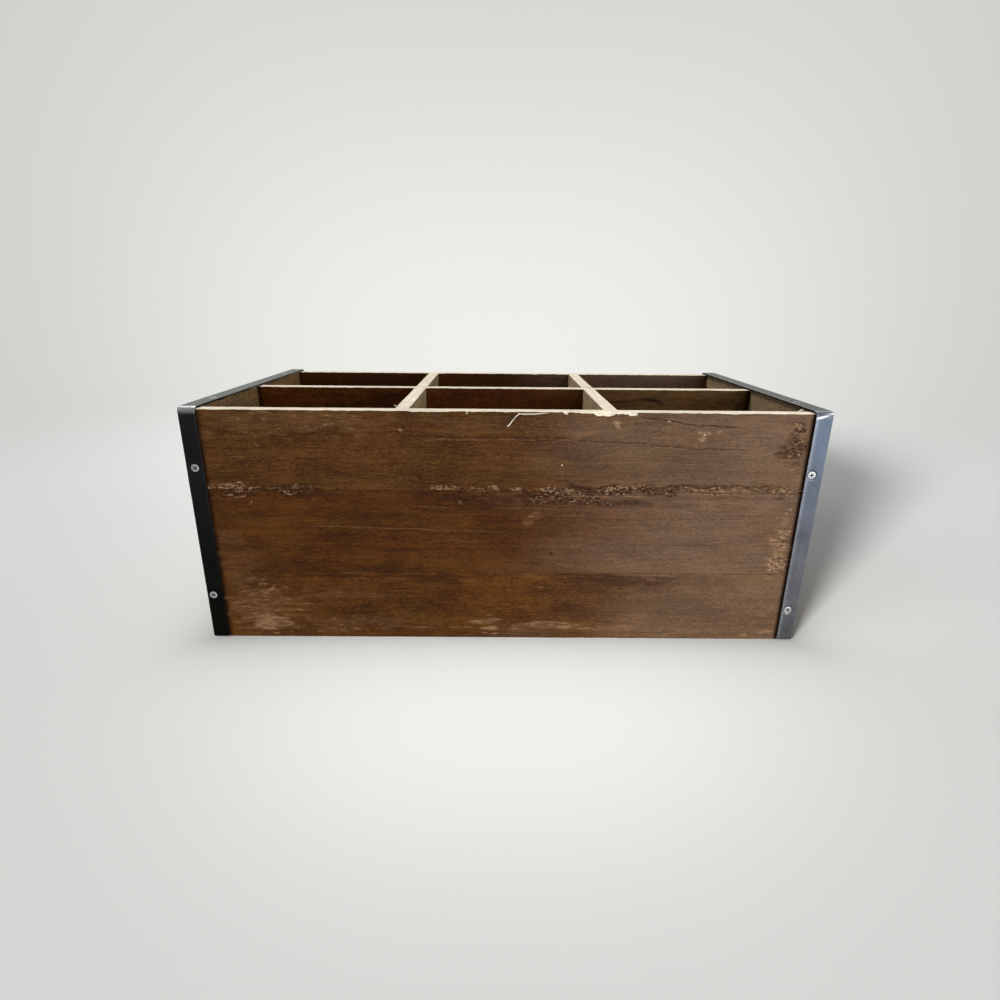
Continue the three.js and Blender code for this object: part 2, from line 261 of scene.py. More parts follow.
SMEARED = [
    (-70, 104.5, 34, 3.0, 0.55),
    (-93, 121, 24, 7.0, 0.5),
    (-53, 129.5, 27, 6.5, 0.55),
    (-140, 127, 30, 3.4, 0.4),
    (95, 130, 34, 5.0, 0.45),
    (60, 128, 32, 2.6, 0.4),
    (-40, 63, 28, 5.5, 0.6),
    (-130, 63, 35, 4.5, 0.4),
    (-110, 78, 45, 6.0, 0.35),
    (34.6, 107.5, 2.6, 2.6, 0.75),
    (22, 115.8, 9, 1.2, 0.45),
    (25, 8, 1.0, 0.9, 0.8),
    (-60, 156, 26, 8, 0.3),
    (45, 151, 26, 5, 0.3),
    (-175, 128, 16, 4.5, 0.35, -25),
    (-183, 78, 12, 4, 0.3),
    (60, 58.5, 66, 5.6, 0.62),
    (203, 20, 10, 18, 0.58),
    (60, 66.5, 78, 5.0, 0.42),
    (160, 53.5, 52, 1.6, 0.4),
    (150, 62.5, 60, 3.0, 0.25),
    (-170, 57.5, 44, 5.0, 0.3),
    (60, 45, 60, 8, 0.18),
    (-60, 45, 70, 9, 0.2),
]
# A line mark says how dark it is, or how pale if the number is negative, and the places that it passes.
LINES = [
    (0.95, [(88, 2.2), (100, 4.2), (118, 6.6), (136, 9.2), (152, 9.8), (170, 10.6)]),
    (0.7, [(20, 20.6), (59, 20.6), (76, 21.2), (88, 21.8), (110, 24.0), (138, 25.9), (181, 26.4)]),
    (0.7, [(-84, 17.6), (-40, 18.6), (24, 18.8), (52, 18.9)]),
    (-0.6, [(-62, 20.8), (-21, 20.2), (34, 20.0), (49, 20.4)]),
    (-0.55, [(103, 24.8), (118, 25.6), (132, 26.9)]),
    (-0.45, [(171, 27.0), (181, 27.3)]),
    (-0.95, [(117, 58.6), (132, 58.9), (146, 58.0), (165, 57.6), (182, 56.6)]),
    (-0.95, [(43, 62.2), (58, 61.6), (70, 62.4), (84, 61.2), (108, 61.8)]),
    (-0.35, [(-12, 71.2), (30, 71.6), (64, 72.2), (100, 71.5), (166, 71.2)]),
    (-0.35, [(-67, 70.4), (-33, 70.8)]),
    (-0.42, [(-152, 86.2), (-105, 87.4), (-70, 88.2), (-30, 89.4), (-4, 90.2)]),
    (-0.38, [(95, 90.2), (112, 90.0), (129, 89.8)]),
    (-0.3, [(136, 89.2), (160, 89.4)]),
    (-0.65, [(77, 123.2), (92, 124.2), (110, 124.9), (129, 125.0)]),
    (-0.4, [(142, 124.8), (152, 124.6)]),
    (0.75, [(-166, 126.6), (-122, 127.4), (-72, 126.8), (-28, 126.4)]),
    (0.7, [(-28, 125.2), (10, 125.6), (46, 124.9), (90, 126.2), (140, 127.6)]),
    (-0.4, [(-126, 124.0), (-104, 124.2)]),
    (-0.45, [(79, 45.4), (88, 45.2)]),
    (-0.45, [(122, 45.0), (126, 45.0)]),
    (-0.5, [(141, 45.2), (155, 45.0)]),
    (-0.45, [(64, 39.4), (70, 39.2)]),
    (-0.4, [(43, 44.8), (50, 44.4)]),
    (-0.35, [(-200, 34.2), (-184, 33.6)]),
    (-0.3, [(-201, 19.2), (-183, 18.8)]),
    (-0.45, [(-103, 17.6), (-96, 17.4)]),
    (-0.4, [(-90, 18.8), (-81, 18.6)]),
    (-0.3, [(-163, 18.4), (-154, 18.0)]),
    (0.3, [(-210, 46), (-120, 47.5), (-40, 46.0), (60, 46.8)]),
    (0.28, [(-120, 34), (-60, 35), (0, 34.2)]),
    (0.3, [(30, 33.5), (110, 34.6), (190, 33.4)]),
    (0.35, [(-200, 77), (-130, 79), (-60, 78)]),
    (0.3, [(20, 78), (90, 80), (180, 79)]),
    (0.3, [(-210, 97), (-120, 98.5), (-60, 97.5)]),
    (0.28, [(60, 99), (140, 100.5), (200, 100)]),
    (0.35, [(-30, 141), (30, 139.5), (110, 141)]),
    (0.3, [(-200, 154), (-120, 152), (-50, 154)]),
    (0.32, [(10, 158), (90, 156.5), (170, 158)]),
    (-0.25, [(120, 149.2), (165, 149.6)]),
    (-0.25, [(-60, 97), (-10, 98)]),
    (-0.22, [(-150, 145), (-80, 144)]),
]
# A chip in the front top edge: middle, length, how far it drops down the face, how far it reaches inwards.
CHIPS = [
    (69.0, 20.0, 3.0, 2.2),
    (79.5, 16.0, 1.7, 1.4),
    (88.0, 8.0, 3.4, 1.4),
    (-27.5, 2.4, 1.0, 0.7),
    (41.5, 5.0, 0.9, 0.7),
    (-110.0, 9.0, 0.5, 0.8),
    (140.0, 14.0, 0.6, 0.8),
]


def smooth(share):
    """Turns a share between 0 and 1 into a soft step."""
    share = np.clip(share, 0.0, 1.0)
    return share * share * (3.0 - 2.0 * share)


def noise(points, size, seed):
    """Smooth random values between 0 and 1. size is the length of one lump, or its length on each axis."""
    cell = points / np.asarray(size, float)
    base = np.floor(cell).astype(np.int64)
    share = smooth(cell - base)
    total = np.zeros(len(points))
    for corner in itertools.product((0, 1), repeat=3):
        code = np.bitwise_xor.reduce((base + np.array(corner)) * PRIMES, axis=1) ^ (seed * SEED_PRIME)
        code = (code ^ (code >> 13)) * MIXER
        value = ((code ^ (code >> 16)) & LOW_BITS) / LOW_BITS
        total += value * np.prod(np.where(np.array(corner) == 1, share, 1.0 - share), axis=1)
    return total


def ovals(along, down, marks, soft=0.55, frayed=0.0):
    """How strong the strongest oval mark is at each place. frayed moves the outlines of tall marks."""
    best = np.zeros(len(along))
    for middle, below, half_long, half_tall, amount, *tilt in marks:
        lean = math.radians(*tilt) if tilt else 0.0
        beside = (along - middle) * math.cos(lean) + (down - below) * math.sin(lean)
        above = (down - below) * math.cos(lean) - (along - middle) * math.sin(lean)
        reach = np.hypot(beside / half_long, above / half_tall) + frayed * min(1.0, half_tall / FRAYED_TALL)
        best = np.maximum(best, amount * smooth((1.0 - reach) / soft))
    return best


def nearest_line(along, down, lines, seed):
    """Signed distance to the nearest line mark, and how strong that line is."""
    gap = np.full(len(along), NO_LINE)
    force = np.zeros(len(along))
    spot = np.stack([along, down * 0.0, down * 0.0], axis=1)
    for number, (amount, places) in enumerate(lines):
        xs, downs = np.array(places, float).T
        wander = (noise(spot, (9.0, 1.0, 1.0), seed + number) - 0.5) * LINE_WANDER
        here = down - np.interp(along, xs, downs) - wander
        taper = min(LINE_TAPER, 0.3 * (xs[-1] - xs[0]))
        inside = smooth((along - xs[0]) / taper) * smooth((xs[-1] - along) / taper)
        nearer = (np.abs(here) < np.minimum(np.abs(gap), LINE_REACH)) & (inside > 0.0)
        gap = np.where(nearer, here, gap)
        force = np.where(nearer, amount * inside, force)
    return gap, force


def chance_marks(seed, reach, height):
    """Marks for a panel that the photo doesn't show, of the same kinds as those on the front."""
    rng = np.random.default_rng(seed)

    def some(count, *ranges):
        """Oval marks with a half length, half height and strength from the given ranges."""
        spread = ((-reach, reach), (4.0, height - 4.0), *ranges, (-8.0, 8.0))
        return [tuple(rng.uniform(*limits) for limits in spread) for _ in range(count)]

    lines = []
    for _ in range(16):
        start = rng.uniform(-reach, reach * 0.6)
        length = rng.uniform(12.0, reach * 0.9)
        down = rng.uniform(6.0, height - 6.0)
        steps = np.linspace(start, start + length, 4)
        drift = np.cumsum(rng.uniform(-0.8, 0.8, 4))
        lines.append((rng.choice([-0.45, -0.3, 0.35, 0.6]), list(zip(steps, down + drift))))
    joint = rng.uniform(-reach, reach * 0.5)
    return {
        "torn": some(3, (5.0, 12.0), (2.0, 4.0), (0.4, 0.8)) + [(joint, 58.0, 30.0, 3.2, 0.6)],
        "pitted": some(3, (8.0, 20.0), (3.0, 6.0), (0.4, 0.8)) + [(joint + 8.0, 59.0, 36.0, 4.5, 0.8)],
        "scuffed": some(9, (3.0, 13.0), (1.0, 4.0), (0.3, 0.8)),
        "bare": some(4, (0.8, 2.2), (0.7, 1.4), (0.7, 1.0)),
        "smeared": some(8, (12.0, 40.0), (2.5, 7.0), (0.25, 0.5)),
        "lines": lines,
    }


FRONT_MARKS = {
    "torn": TORN,
    "pitted": PITTED,
    "scuffed": SCUFFED,
    "bare": BARE,
    "smeared": SMEARED,
    "lines": LINES,
}
NO_MARKS = {kind: [] for kind in FRONT_MARKS}
# The long divider has a knot near its right end.
KNOTTY = {
    **NO_MARKS,
    "pitted": [(133, 10, 9, 2.4, 0.5, 6)],
    "smeared": [(130, 9.5, 12, 2.0, 0.9, 5), (138, 12.5, 6, 1.4, 0.9, 5), (104, 11, 24, 1.6, 0.5, -2)],
    "lines": [
        (0.7, [(84, 12), (104, 11), (122, 8), (140, 13), (160, 14)]),
        (0.5, [(120, 5), (136, 7), (160, 9), (190, 10)]),
        (0.4, [(-200, 8), (-150, 10), (-90, 9)]),
        (0.4, [(-60, 10), (0, 12), (60, 9)]),
    ],
}


def rows(low, high, cell, fine=(), exact=()):
    """Places from low to high about a cell apart, closer beside both ends and in the fine stretches."""
    count = max(2, round((high - low) / cell))
    wishes = [np.linspace(low, high, count + 1)]
    wishes += [np.arange(start, end, step) for start, end, step in fine]
    kept = sorted({low, high, *exact, *(low + r for r in RIM), *(high - r for r in RIM)})
    result = list(kept)
    last = low
    for place in np.sort(np.concatenate(wishes)):
        narrow = any(start <= place <= end for start, end, _ in fine)
        limit = ROW_GAP if narrow else 0.3 * cell
        room = np.abs(np.array(kept) - place).min()
        if low < place < high and room > min(limit, ROW_GAP) and place - last > limit:
            result.append(place)
            last = place
    return np.array(sorted(result))


def skin(places, hollows=()):
    """Closed skin of a block cut by planes at the given places along each axis, less the hollow boxes."""
    middles = [(line[1:] + line[:-1]) / 2 for line in places]
    solid = np.ones([len(line) for line in middles], bool)
    for low, high in hollows:
        inside = [(m > a) & (m < b) for m, a, b in zip(middles, low, high)]
        solid &= ~(inside[0][:, None, None] & inside[1][None, :, None] & inside[2][None, None, :])
    padded = np.pad(solid, 1).astype(np.int8)
    shape = tuple(len(line) for line in places)
    quads = []
    for axis in range(3):
        beside = (axis + 1) % 3
        above = (axis + 2) % 3
        step = np.diff(padded, axis=axis)
        for sign in (1, -1):
            found = np.array(np.nonzero(step == sign))
            found[beside] -= 1
            found[above] -= 1
            corners = [found.copy() for _ in range(4)]
            corners[1][beside] += 1
            corners[2][beside] += 1
            corners[2][above] += 1
            corners[3][above] += 1
            if sign == 1:
                corners.reverse()
            quads.append(np.stack([np.ravel_multi_index(tuple(c), shape) for c in corners], axis=1))
    used, quads = np.unique(np.concatenate(quads), return_inverse=True)
    spots = np.unravel_index(used, shape)
    points = np.stack([line[i] for line, i in zip(places, spots)], axis=1)
    return points, quads.reshape(-1, 4)


def round_off(points, low, high, radius):
    """Rounds the twelve outer edges of a block. Returns the points and the way that each one faces."""
    inner = np.clip(points, low + radius[:, None], high - radius[:, None])
    away = points - inner
    length = np.linalg.norm(away, axis=1)
    facing = away / np.maximum(length, 1e-9)[:, None]
    return inner + facing * np.minimum(length, radius)[:, None], facing


def ring(radius, angles, height):
    """Points around Z. The radius and the height may differ from point to point."""
    return np.stack([radius * np.cos(angles), radius * np.sin(angles), 0 * angles + height], axis=1)


def ring_index(count, spokes):
    """Numbers of the points of so many rings, and of the points that follow them around each ring."""
    index = np.arange(count * spokes).reshape(count, spokes)
    return index, np.roll(index, -1, axis=1)


def spokes_around(count):
    """Angles of so many points, evenly spread around a ring."""
    return np.arange(count) * 2 * math.pi / count


def make_mesh(name, points, quads, values):
    """A mesh object from points in millimetres, with one named value per point for its material."""
    mesh = bpy.data.meshes.new(name)
    mesh.vertices.add(len(points))
    mesh.vertices.foreach_set("co", (points * MM).astype(np.float32).ravel())
    mesh.loops.add(quads.size)
    mesh.loops.foreach_set("vertex_index", quads.astype(np.int32).ravel())
    mesh.polygons.add(len(quads))
    mesh.polygons.foreach_set("loop_start", np.arange(0, quads.size, quads.shape[1], dtype=np.int32))
    mesh.polygons.foreach_set("use_smooth", np.ones(len(quads), bool))
    mesh.update(calc_edges=True)
    mesh.validate()
    for label, value in values.items():
        layer = mesh.attributes.new(label, "FLOAT", "POINT")
        layer.data.foreach_set("value", value.astype(np.float32))
    mesh.set_sharp_from_angle(angle=math.radians(SHARP_ANGLE))
    piece = bpy.data.objects.new(name, mesh)
    bpy.context.scene.collection.objects.link(piece)
    return piece


def attach(piece, material, slot, *nodes):
    """Gives a piece its material, lets it ride on the box and stand for its CAD nodes. The slot is not used.
    """
    piece.data.materials.append(material)
    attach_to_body(piece, BODY)
    if nodes:
        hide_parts(*nodes)
    return piece


class Tree:
    """Short calls for laying out shader nodes."""

    def __init__(self, tree):
        self.tree = tree
        self.count = 0

    def put(self, kind, values=None, **settings):
        """A new node of that kind, with its settings and what feeds its inputs."""
        node = self.tree.nodes.new(kind)
        node.location = (self.count % 12 * 190.0, -(self.count // 12) * 260.0)
        self.count += 1
        for key, value in settings.items():
            setattr(node, key, value)
        for key, value in (values or {}).items():
            self.feed(node.inputs[key], value)
        return node

    def feed(self, socket, value):
        """Links another node's output to a socket, or writes a plain value into it."""
        if isinstance(value, bpy.types.NodeSocket):
            self.tree.links.new(value, socket)
        else:
            socket.default_value = value

    def math(self, operation, first, second=0.0, third=0.0, clamp=False):
        values = {0: first, 1: second, 2: third}
        return self.put("ShaderNodeMath", values, operation=operation, use_clamp=clamp).outputs[0]

    def times(self, first, second):
        return self.math("MULTIPLY", first, second)

    def minus(self, first, second):
        return self.math("SUBTRACT", first, second)

    def larger(self, first, second):
        return self.math("MAXIMUM", first, second)

    def total(self, *values):
        result = values[0]
        for value in values[1:]:
            result = self.math("ADD", result, value)
        return result

    def scaled(self, vector, scale):
        node = self.put("ShaderNodeVectorMath", {0: vector, 1: scale}, operation="MULTIPLY")
        return node.outputs[0]

    def moved(self, vector, shift):
        return self.put("ShaderNodeVectorMath", {0: vector, 1: shift}, operation="ADD").outputs[0]

    def length(self, vector):
        return self.put("ShaderNodeVectorMath", {0: vector}, operation="LENGTH").outputs["Value"]

    def joined(self, x, y=0.0, z=0.0):
        return self.put("ShaderNodeCombineXYZ", {0: x, 1: y, 2: z}).outputs[0]

    def apart(self, vector):
        return self.put("ShaderNodeSeparateXYZ", {0: vector}).outputs

    def noise(self, vector, scale, detail=2.0, rough=0.55):
        """Noise with the given lumps per unit along each axis."""
        values = {"Vector": self.scaled(vector, scale), "Scale": 1.0, "Detail": detail, "Roughness": rough}
        return self.put("ShaderNodeTexNoise", values).outputs["Fac"]

    def step(self, value, low, high, to_low=0.0, to_high=1.0):
        """A soft step: to_low up to the value low, and to_high from the value high."""
        values = {"Value": value, "From Min": low, "From Max": high, "To Min": to_low, "To Max": to_high}
        node = self.put("ShaderNodeMapRange", values, interpolation_type="SMOOTHSTEP")
        return node.outputs["Result"]

    def mix(self, share, first, second, blend="MIX"):
        """The first colour, with that share of the second one over it."""
        values = {0: share, 6: first, 7: second}
        node = self.put("ShaderNodeMix", values, data_type="RGBA", blend_type=blend, clamp_factor=True)
        return node.outputs[2]

    def shade(self, colour, factor):
        """Multiplies a colour by a grey value."""
        grey = self.put("ShaderNodeCombineColor", {0: factor, 1: factor, 2: factor}).outputs[0]
        return self.mix(1.0, colour, grey, "MULTIPLY")

    def value(self, label):
        """The named value that the mesh carries at each point."""
        return self.put("ShaderNodeAttribute", attribute_name=label).outputs["Fac"]

    def centred(self, value, gain):
        """A noise value turned into plus or minus half its gain."""
        return self.math("MULTIPLY_ADD", value, gain, -0.5 * gain)

    def peaks(self, amount, pattern, rare, gain):
        """Picks the peaks of a pattern: a few where the amount is low, most of them where it is high."""
        edge = self.math("MULTIPLY_ADD", amount, -gain, rare)
        peak = self.step(self.minus(pattern, edge), -0.03, 0.05)
        return self.times(peak, self.math("MULTIPLY", amount, 5.0, clamp=True))

    def seen_directly(self):
        """1 for rays that come straight from the camera, from a mirror or through glass, else 0."""
        rays = self.put("ShaderNodeLightPath").outputs
        direct = self.larger(rays["Is Camera Ray"], rays["Is Glossy Ray"])
        return self.larger(direct, rays["Is Transmission Ray"])

    def group(self, name, maker, values):
        """Outputs of the node group of that name, which is built the first time that it is asked for."""
        tree = bpy.data.node_groups.get(name) or maker(name)
        return self.put("ShaderNodeGroup", values, node_tree=tree).outputs

    def cover(self, given, bump_depth, values):
        """Ends a material with a Principled surface in the colour, roughness and relief of a group."""
        relief = {"Height": given["Height"], "Strength": 0.5, "Distance": bump_depth}
        bump = self.put("ShaderNodeBump", relief)
        inputs = {
            "Base Color": given["Color"],
            "Roughness": given["Roughness"],
            "Normal": bump.outputs[0],
            **values,
        }
        self.end("ShaderNodeOutputMaterial", self.put("ShaderNodeBsdfPrincipled", inputs))

    def end(self, kind, shader):
        self.put(kind, {"Surface": shader.outputs[0]})


def new_group(name, inputs, outputs):
    """An empty shader node group with sockets of the given names and kinds, and its two end nodes."""
    tree = bpy.data.node_groups.new(name, "ShaderNodeTree")
    kinds = {"value": "NodeSocketFloat", "colour": "NodeSocketColor", "vector": "NodeSocketVector"}
    for way, sockets in (("INPUT", inputs), ("OUTPUT", outputs)):
        for label, kind in sockets.items():
            tree.interface.new_socket(name=label, in_out=way, socket_type=kinds[kind])
    lay = Tree(tree)
    return lay, lay.put("NodeGroupInput").outputs, lay.put("NodeGroupOutput").inputs


def grain_group(name):
    """Grain, cloudy stain, pores and flecks of stained softwood. Place has the grain along its X."""
    lay, given, out = new_group(
        name,
        {"Place": "vector", "Dark": "colour", "Light": "colour", "Tint": "colour", "Cloud": "value"},
        {"Color": "colour", "Height": "value", "Fibre": "value"},
    )
    place = given["Place"]
    wander = lay.noise(place, (0.012, 0.03, 0.03), 2.0)
    bent = lay.moved(place, lay.joined(0.0, 0.0, lay.centred(wander, 16.0)))
    streak = lay.noise(bent, (0.006, 0.3, 0.34), 4.0, 0.6)
    hair = lay.noise(bent, (0.02, 0.8, 1.15), 3.0, 0.65)
    dash = lay.noise(bent, (0.075, 0.5, 0.75), 4.0, 0.7)
    fibre = lay.noise(bent, (0.3, 1.2, 1.5), 3.0, 0.7)
    cloud = lay.noise(place, (0.016, 0.03, 0.034), 3.0, 0.6)
    smudge = lay.noise(place, (0.09, 0.12, 0.14), 4.0, 0.7)
    middle_tone = 0.45
    tone = lay.total(
        middle_tone,
        lay.centred(streak, 0.7),
        lay.centred(hair, 1.1),
        lay.centred(dash, 1.15),
        lay.centred(fibre, 2.8),
        lay.times(lay.centred(cloud, 1.35), given["Cloud"]),
        lay.times(lay.centred(smudge, 0.8), given["Cloud"]),
    )
    tone = lay.math("MULTIPLY", tone, 1.0, clamp=True)
    colour = lay.mix(tone, given["Dark"], given["Light"])
    patches = lay.noise(lay.moved(place, (310.0, 40.0, 90.0)), (0.018, 0.03, 0.05), 3.0)
    olive = lay.step(patches, 0.42, 0.62)
    colour = lay.mix(lay.times(olive, 0.6), colour, given["Tint"], "MULTIPLY")
    pores = lay.step(lay.noise(bent, (0.15, 1.1, 2.2), 1.0), 0.60, 0.70)
    lay.feed(out["Color"], lay.mix(lay.times(pores, 0.5), colour, given["Dark"]))
    height = lay.total(lay.times(fibre, 0.45), lay.times(dash, 0.35), lay.times(pores, -0.3))
    lay.feed(out["Height"], height)
    lay.feed(out["Fibre"], tone)
    return lay.tree


def stained_faces(lay, given, crumbs):
    """The stain of the inner faces, a painted sheen over the outer ones towards the right end, and the dark
    smears, with painted shade beside the bands.
    """
    inner = lay.shade(given["Inner"], lay.math("MULTIPLY_ADD", given["Fibre"], 0.9, 0.6))
    inner = lay.shade(inner, lay.step(crumbs, 0.3, 0.7, 0.6, 1.4))
    colour = lay.mix(lay.value("inner"), given["Color"], inner)
    # Painted sheen: a pale layer that grows towards the right end of the box, weaker over pits.
    sheen_colour = lay.shade(given["Bloom"], lay.step(given["Fibre"], 0.2, 0.8, 0.8, 1.2))
    sheen_film = lay.times(lay.value("faded"), lay.step(lay.value("pitted"), 0.1, 0.9, 0.38, 0.2))
    colour = lay.mix(sheen_film, colour, sheen_colour)
    # Dark smears, and painted shade beside the bands.
    darkening = lay.times(lay.value("smeared"), lay.step(crumbs, 0.2, 0.6, 0.75, 1.0))
    return lay.mix(darkening, colour, given["Deep"])


def lined(lay, given, colour, crumbs):
    """Dark cracks and pale scratches over the colour, and a mask of the cracks."""
    force = lay.value("line_force")
    thin = lay.step(lay.math("ABSOLUTE", lay.value("line_gap")), 0.15, 0.8, 1.0, 0.0)
    thin = lay.times(thin, lay.step(crumbs, 0.38, 0.58, 0.15, 1.0))
    crack = lay.times(thin, lay.larger(force, 0.0))
    scratch = lay.times(thin, lay.larger(lay.times(force, -1.0), 0.0))
    colour = lay.mix(crack, colour, given["Deep"])
    return lay.mix(lay.times(scratch, 0.65), colour, given["Scuff"]), crack


def scuffed(lay, given, colour):
    """A haze and small rubbed spots where the stain is scuffed."""
    rubs = lay.noise(lay.moved(given["Place"], (21.0, 61.0, 17.0)), (0.12, 0.7, 0.8), 5.0, 0.72)
    amount = lay.value("scuffed")
    haze = lay.times(amount, lay.step(rubs, 0.3, 0.7, 0.2, 0.58))
    spots = lay.times(lay.peaks(lay.math("POWER", amount, 1.3), rubs, 0.64, 0.2), 0.9)
    return lay.mix(lay.larger(haze, spots), colour, given["Scuff"])


def end_rings(lay, place, crumbs, grit):
    """The growth rings on the sawn end of a board, around a pith far below it."""
    pith = 70.0
    _, y, z = lay.apart(place)
    reach = lay.length(lay.joined(y, lay.math("ADD", z, pith)))
    reach = lay.math("ADD", reach, lay.centred(crumbs, 0.8))
    rings = lay.noise(lay.joined(reach, 5.0), (0.75, 0.0, 0.0), 2.0, 0.6)
    return lay.math("MULTIPLY_ADD", grit, 0.3, lay.times(rings, 0.7))


def wear_group(name):
    """Torn fibres, scuffs, bare wood, smears, end grain and line marks over a board's grain, with a painted
    sheen over the right end and painted shade beside the bands.
    """
    lay, given, out = new_group(
        name,
        {"Place": "vector", "Color": "colour", "Height": "value", "Fibre": "value", "Bare": "colour",
         "Scuff": "colour", "Deep": "colour", "Bloom": "colour", "Inner": "colour"},
        {"Color": "colour", "Roughness": "value", "Height": "value"},
    )
    place = given["Place"]
    crumbs = lay.noise(place, (0.3, 0.9, 0.85), 3.0, 0.75)
    grit = lay.noise(lay.moved(place, (77.0, 13.0, 31.0)), (0.38, 0.85, 0.9), 3.0, 0.7)
    colour = stained_faces(lay, given, crumbs)
    colour, crack = lined(lay, given, colour, crumbs)
    colour = scuffed(lay, given, colour)
    pit = lay.peaks(lay.value("pitted"), grit, 0.63, 0.15)
    colour = lay.mix(lay.times(pit, 0.7), colour, given["Deep"])
    sway = lay.joined(0.0, 0.0, lay.centred(crumbs, 2.6))
    curls = lay.noise(lay.moved(place, sway), (0.3, 0.8, 0.9), 4.0, 0.7)
    torn = lay.peaks(lay.value("torn"), curls, 0.655, 0.155)
    fleck = lay.mix(lay.step(grit, 0.45, 0.65, 0.0, 0.24), given["Scuff"], given["Bare"])
    colour = lay.mix(lay.times(torn, 0.85), colour, fleck)
    end = lay.value("end_grain")
    rings = end_rings(lay, place, crumbs, grit)
    colour = lay.mix(lay.times(end, lay.step(rings, 0.36, 0.62, 0.9, 0.15)), colour, given["Deep"])
    bare = lay.step(lay.total(lay.value("bare"), lay.centred(crumbs, 0.55)), 0.42, 0.62)
    fresh = lay.shade(given["Bare"], lay.step(given["Fibre"], 0.25, 0.75, 0.8, 1.08))
    lay.feed(out["Color"], lay.mix(bare, colour, fresh))
    least_rough = 0.52
    rough = lay.total(
        least_rough, lay.times(given["Fibre"], 0.16), lay.times(bare, 0.22), lay.times(torn, 0.2),
    )
    lay.feed(out["Roughness"], rough)
    height = lay.total(
        given["Height"],
        lay.times(torn, 0.9),
        lay.times(pit, -0.9),
        lay.times(crack, -0.8),
        lay.times(end, lay.times(rings, 0.5)),
    )
    lay.feed(out["Height"], height)
    return lay.tree


def steel_group(name):
    """Rolled steel: blotches, streaks along the strip, specks and bright rubbed edges, with the painted light
    that a piece's values call for: reflection towards the foot and on the top, highlights, sheen and shade.
    """
    lay, given, out = new_group(
        name,
        {"Place": "vector", "Base": "colour", "Rubbed": "colour", "Stain": "colour", "Level": "colour",
         "Foot": "colour"},
        {"Color": "colour", "Roughness": "value", "Height": "value"},
    )
    place = given["Place"]
    blotch = lay.noise(place, (0.05, 0.09, 0.05), 4.0, 0.6)
    streak = lay.noise(place, (1.3, 0.03, 0.03), 3.0, 0.6)
    speck = lay.noise(place, (0.7, 0.7, 0.7), 2.0, 0.6)
    # Painted reflection: the colour changes down the legs towards the foot colour.
    colour = lay.mix(lay.value("low"), given["Base"], given["Foot"])
    colour = lay.shade(colour, lay.total(lay.centred(blotch, 1.2), lay.centred(streak, 0.5), 1.0))
    colour = lay.mix(lay.step(speck, 0.6, 0.74, 0.0, 0.5), colour, given["Stain"])
    # Painted reflection: the top of a band is greyer.
    level = lay.shade(given["Level"], lay.total(lay.centred(speck, 1.6), lay.centred(blotch, 1.2), 1.0))
    colour = lay.mix(lay.value("level"), colour, level)
    # Painted shade on the sides and underside, and a painted dark reflection in the right band's bends.
    colour = lay.mix(lay.times(lay.value("mill"), 0.9), colour, given["Stain"])
    # Rubbed rims, and painted highlights and sheen on the bends and inner edges; on a screw, the painted light
    # of its face.
    worn = lay.times(lay.value("worn"), lay.step(speck, 0.25, 0.6, 0.35, 1.0))
    lay.feed(out["Color"], lay.mix(worn, colour, given["Rubbed"]))
    least_rough = 0.3
    rough = lay.total(least_rough, lay.times(blotch, 0.25), lay.times(streak, 0.1))
    lay.feed(out["Roughness"], rough)
    lay.feed(out["Height"], lay.total(lay.times(speck, 0.6), lay.times(streak, 0.4)))
    return lay.tree


def emptied(owner):
    """The node tree of a new material or world, with its first nodes taken out."""
    owner.use_nodes = True
    owner.node_tree.nodes.clear()
    return Tree(owner.node_tree)


def start_material(name):
    """An empty material, its node tree, and a vector of the place on the piece in millimetres."""
    material = bpy.data.materials.new(name)
    lay = emptied(material)
    here = lay.put("ShaderNodeTexCoord").outputs["Object"]
    return material, lay, lay.scaled(here, (1.0 / MM, 1.0 / MM, 1.0 / MM))


def picked(values, *names):
    """The named ones of a material's colours or a group's outputs."""
    return {name: values[name] for name in names}


def wood_material(name, tones, seed, grain="X", cloud=1.0):
    """A stained board in the given tones, with its grain along X or Y. cloud says how patchy it is."""
    material, lay, here = start_material(name)
    split = lay.apart(here)
    order = {"X": (0, 1, 2), "Y": (1, 0, 2)}[grain]
    turned = lay.joined(*(split[axis] for axis in order))
    place = {"Place": lay.moved(turned, (seed * 517.3, seed * 89.1, seed * 211.7))}
    stain = picked(tones, "Dark", "Light", "Tint")
    grained = lay.group("Stained grain", grain_group, {**place, **stain, "Cloud": cloud})
    wear = picked(tones, "Bare", "Scuff", "Deep", "Bloom", "Inner")
    surface = picked(grained, "Color", "Height", "Fibre")
    worn = lay.group("Board wear", wear_group, {**place, **surface, **wear})
    lay.cover(worn, WOOD_BUMP, {"Specular IOR Level": 0.12})
    return material


def steel_material(name, tones, metallic, bump_depth=STEEL_BUMP):
    """Bare or plated steel in the given tones."""
    material, lay, here = start_material(name)
    steel = lay.group("Rolled steel", steel_group, {"Place": here, **tones})
    lay.cover(steel, bump_depth, {"Metallic": metallic})
    return material


def board_tones(settings, inner):
    """The colours of a stained board, by the names of the sockets that they feed."""
    names = ("dark", "light", "tint", "bare", "scuff", "deep", "bloom")
    return {**{name.title(): getattr(settings, name)[:] for name in names}, "Inner": inner[:]}


def restained(tones, grain, sheen_film):
    """The same colours, with the grain and the painted sheen over it multiplied by the given factors."""
    factors = {"Dark": grain, "Light": grain, "Bloom": sheen_film}
    changed = {name: tuple(a * b for a, b in zip(tones[name], by)) for name, by in factors.items()}
    return {**tones, **changed}


def node_span(node):
    """Lowest and highest corners of a CAD node, in millimetres."""
    low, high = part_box(node)
    return np.array(low) / MM, np.array(high) / MM


def nodes_with(word, start=""):
    """Names of the CAD nodes that hold that word and begin with that start."""
    return [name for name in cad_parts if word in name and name.startswith(start)]


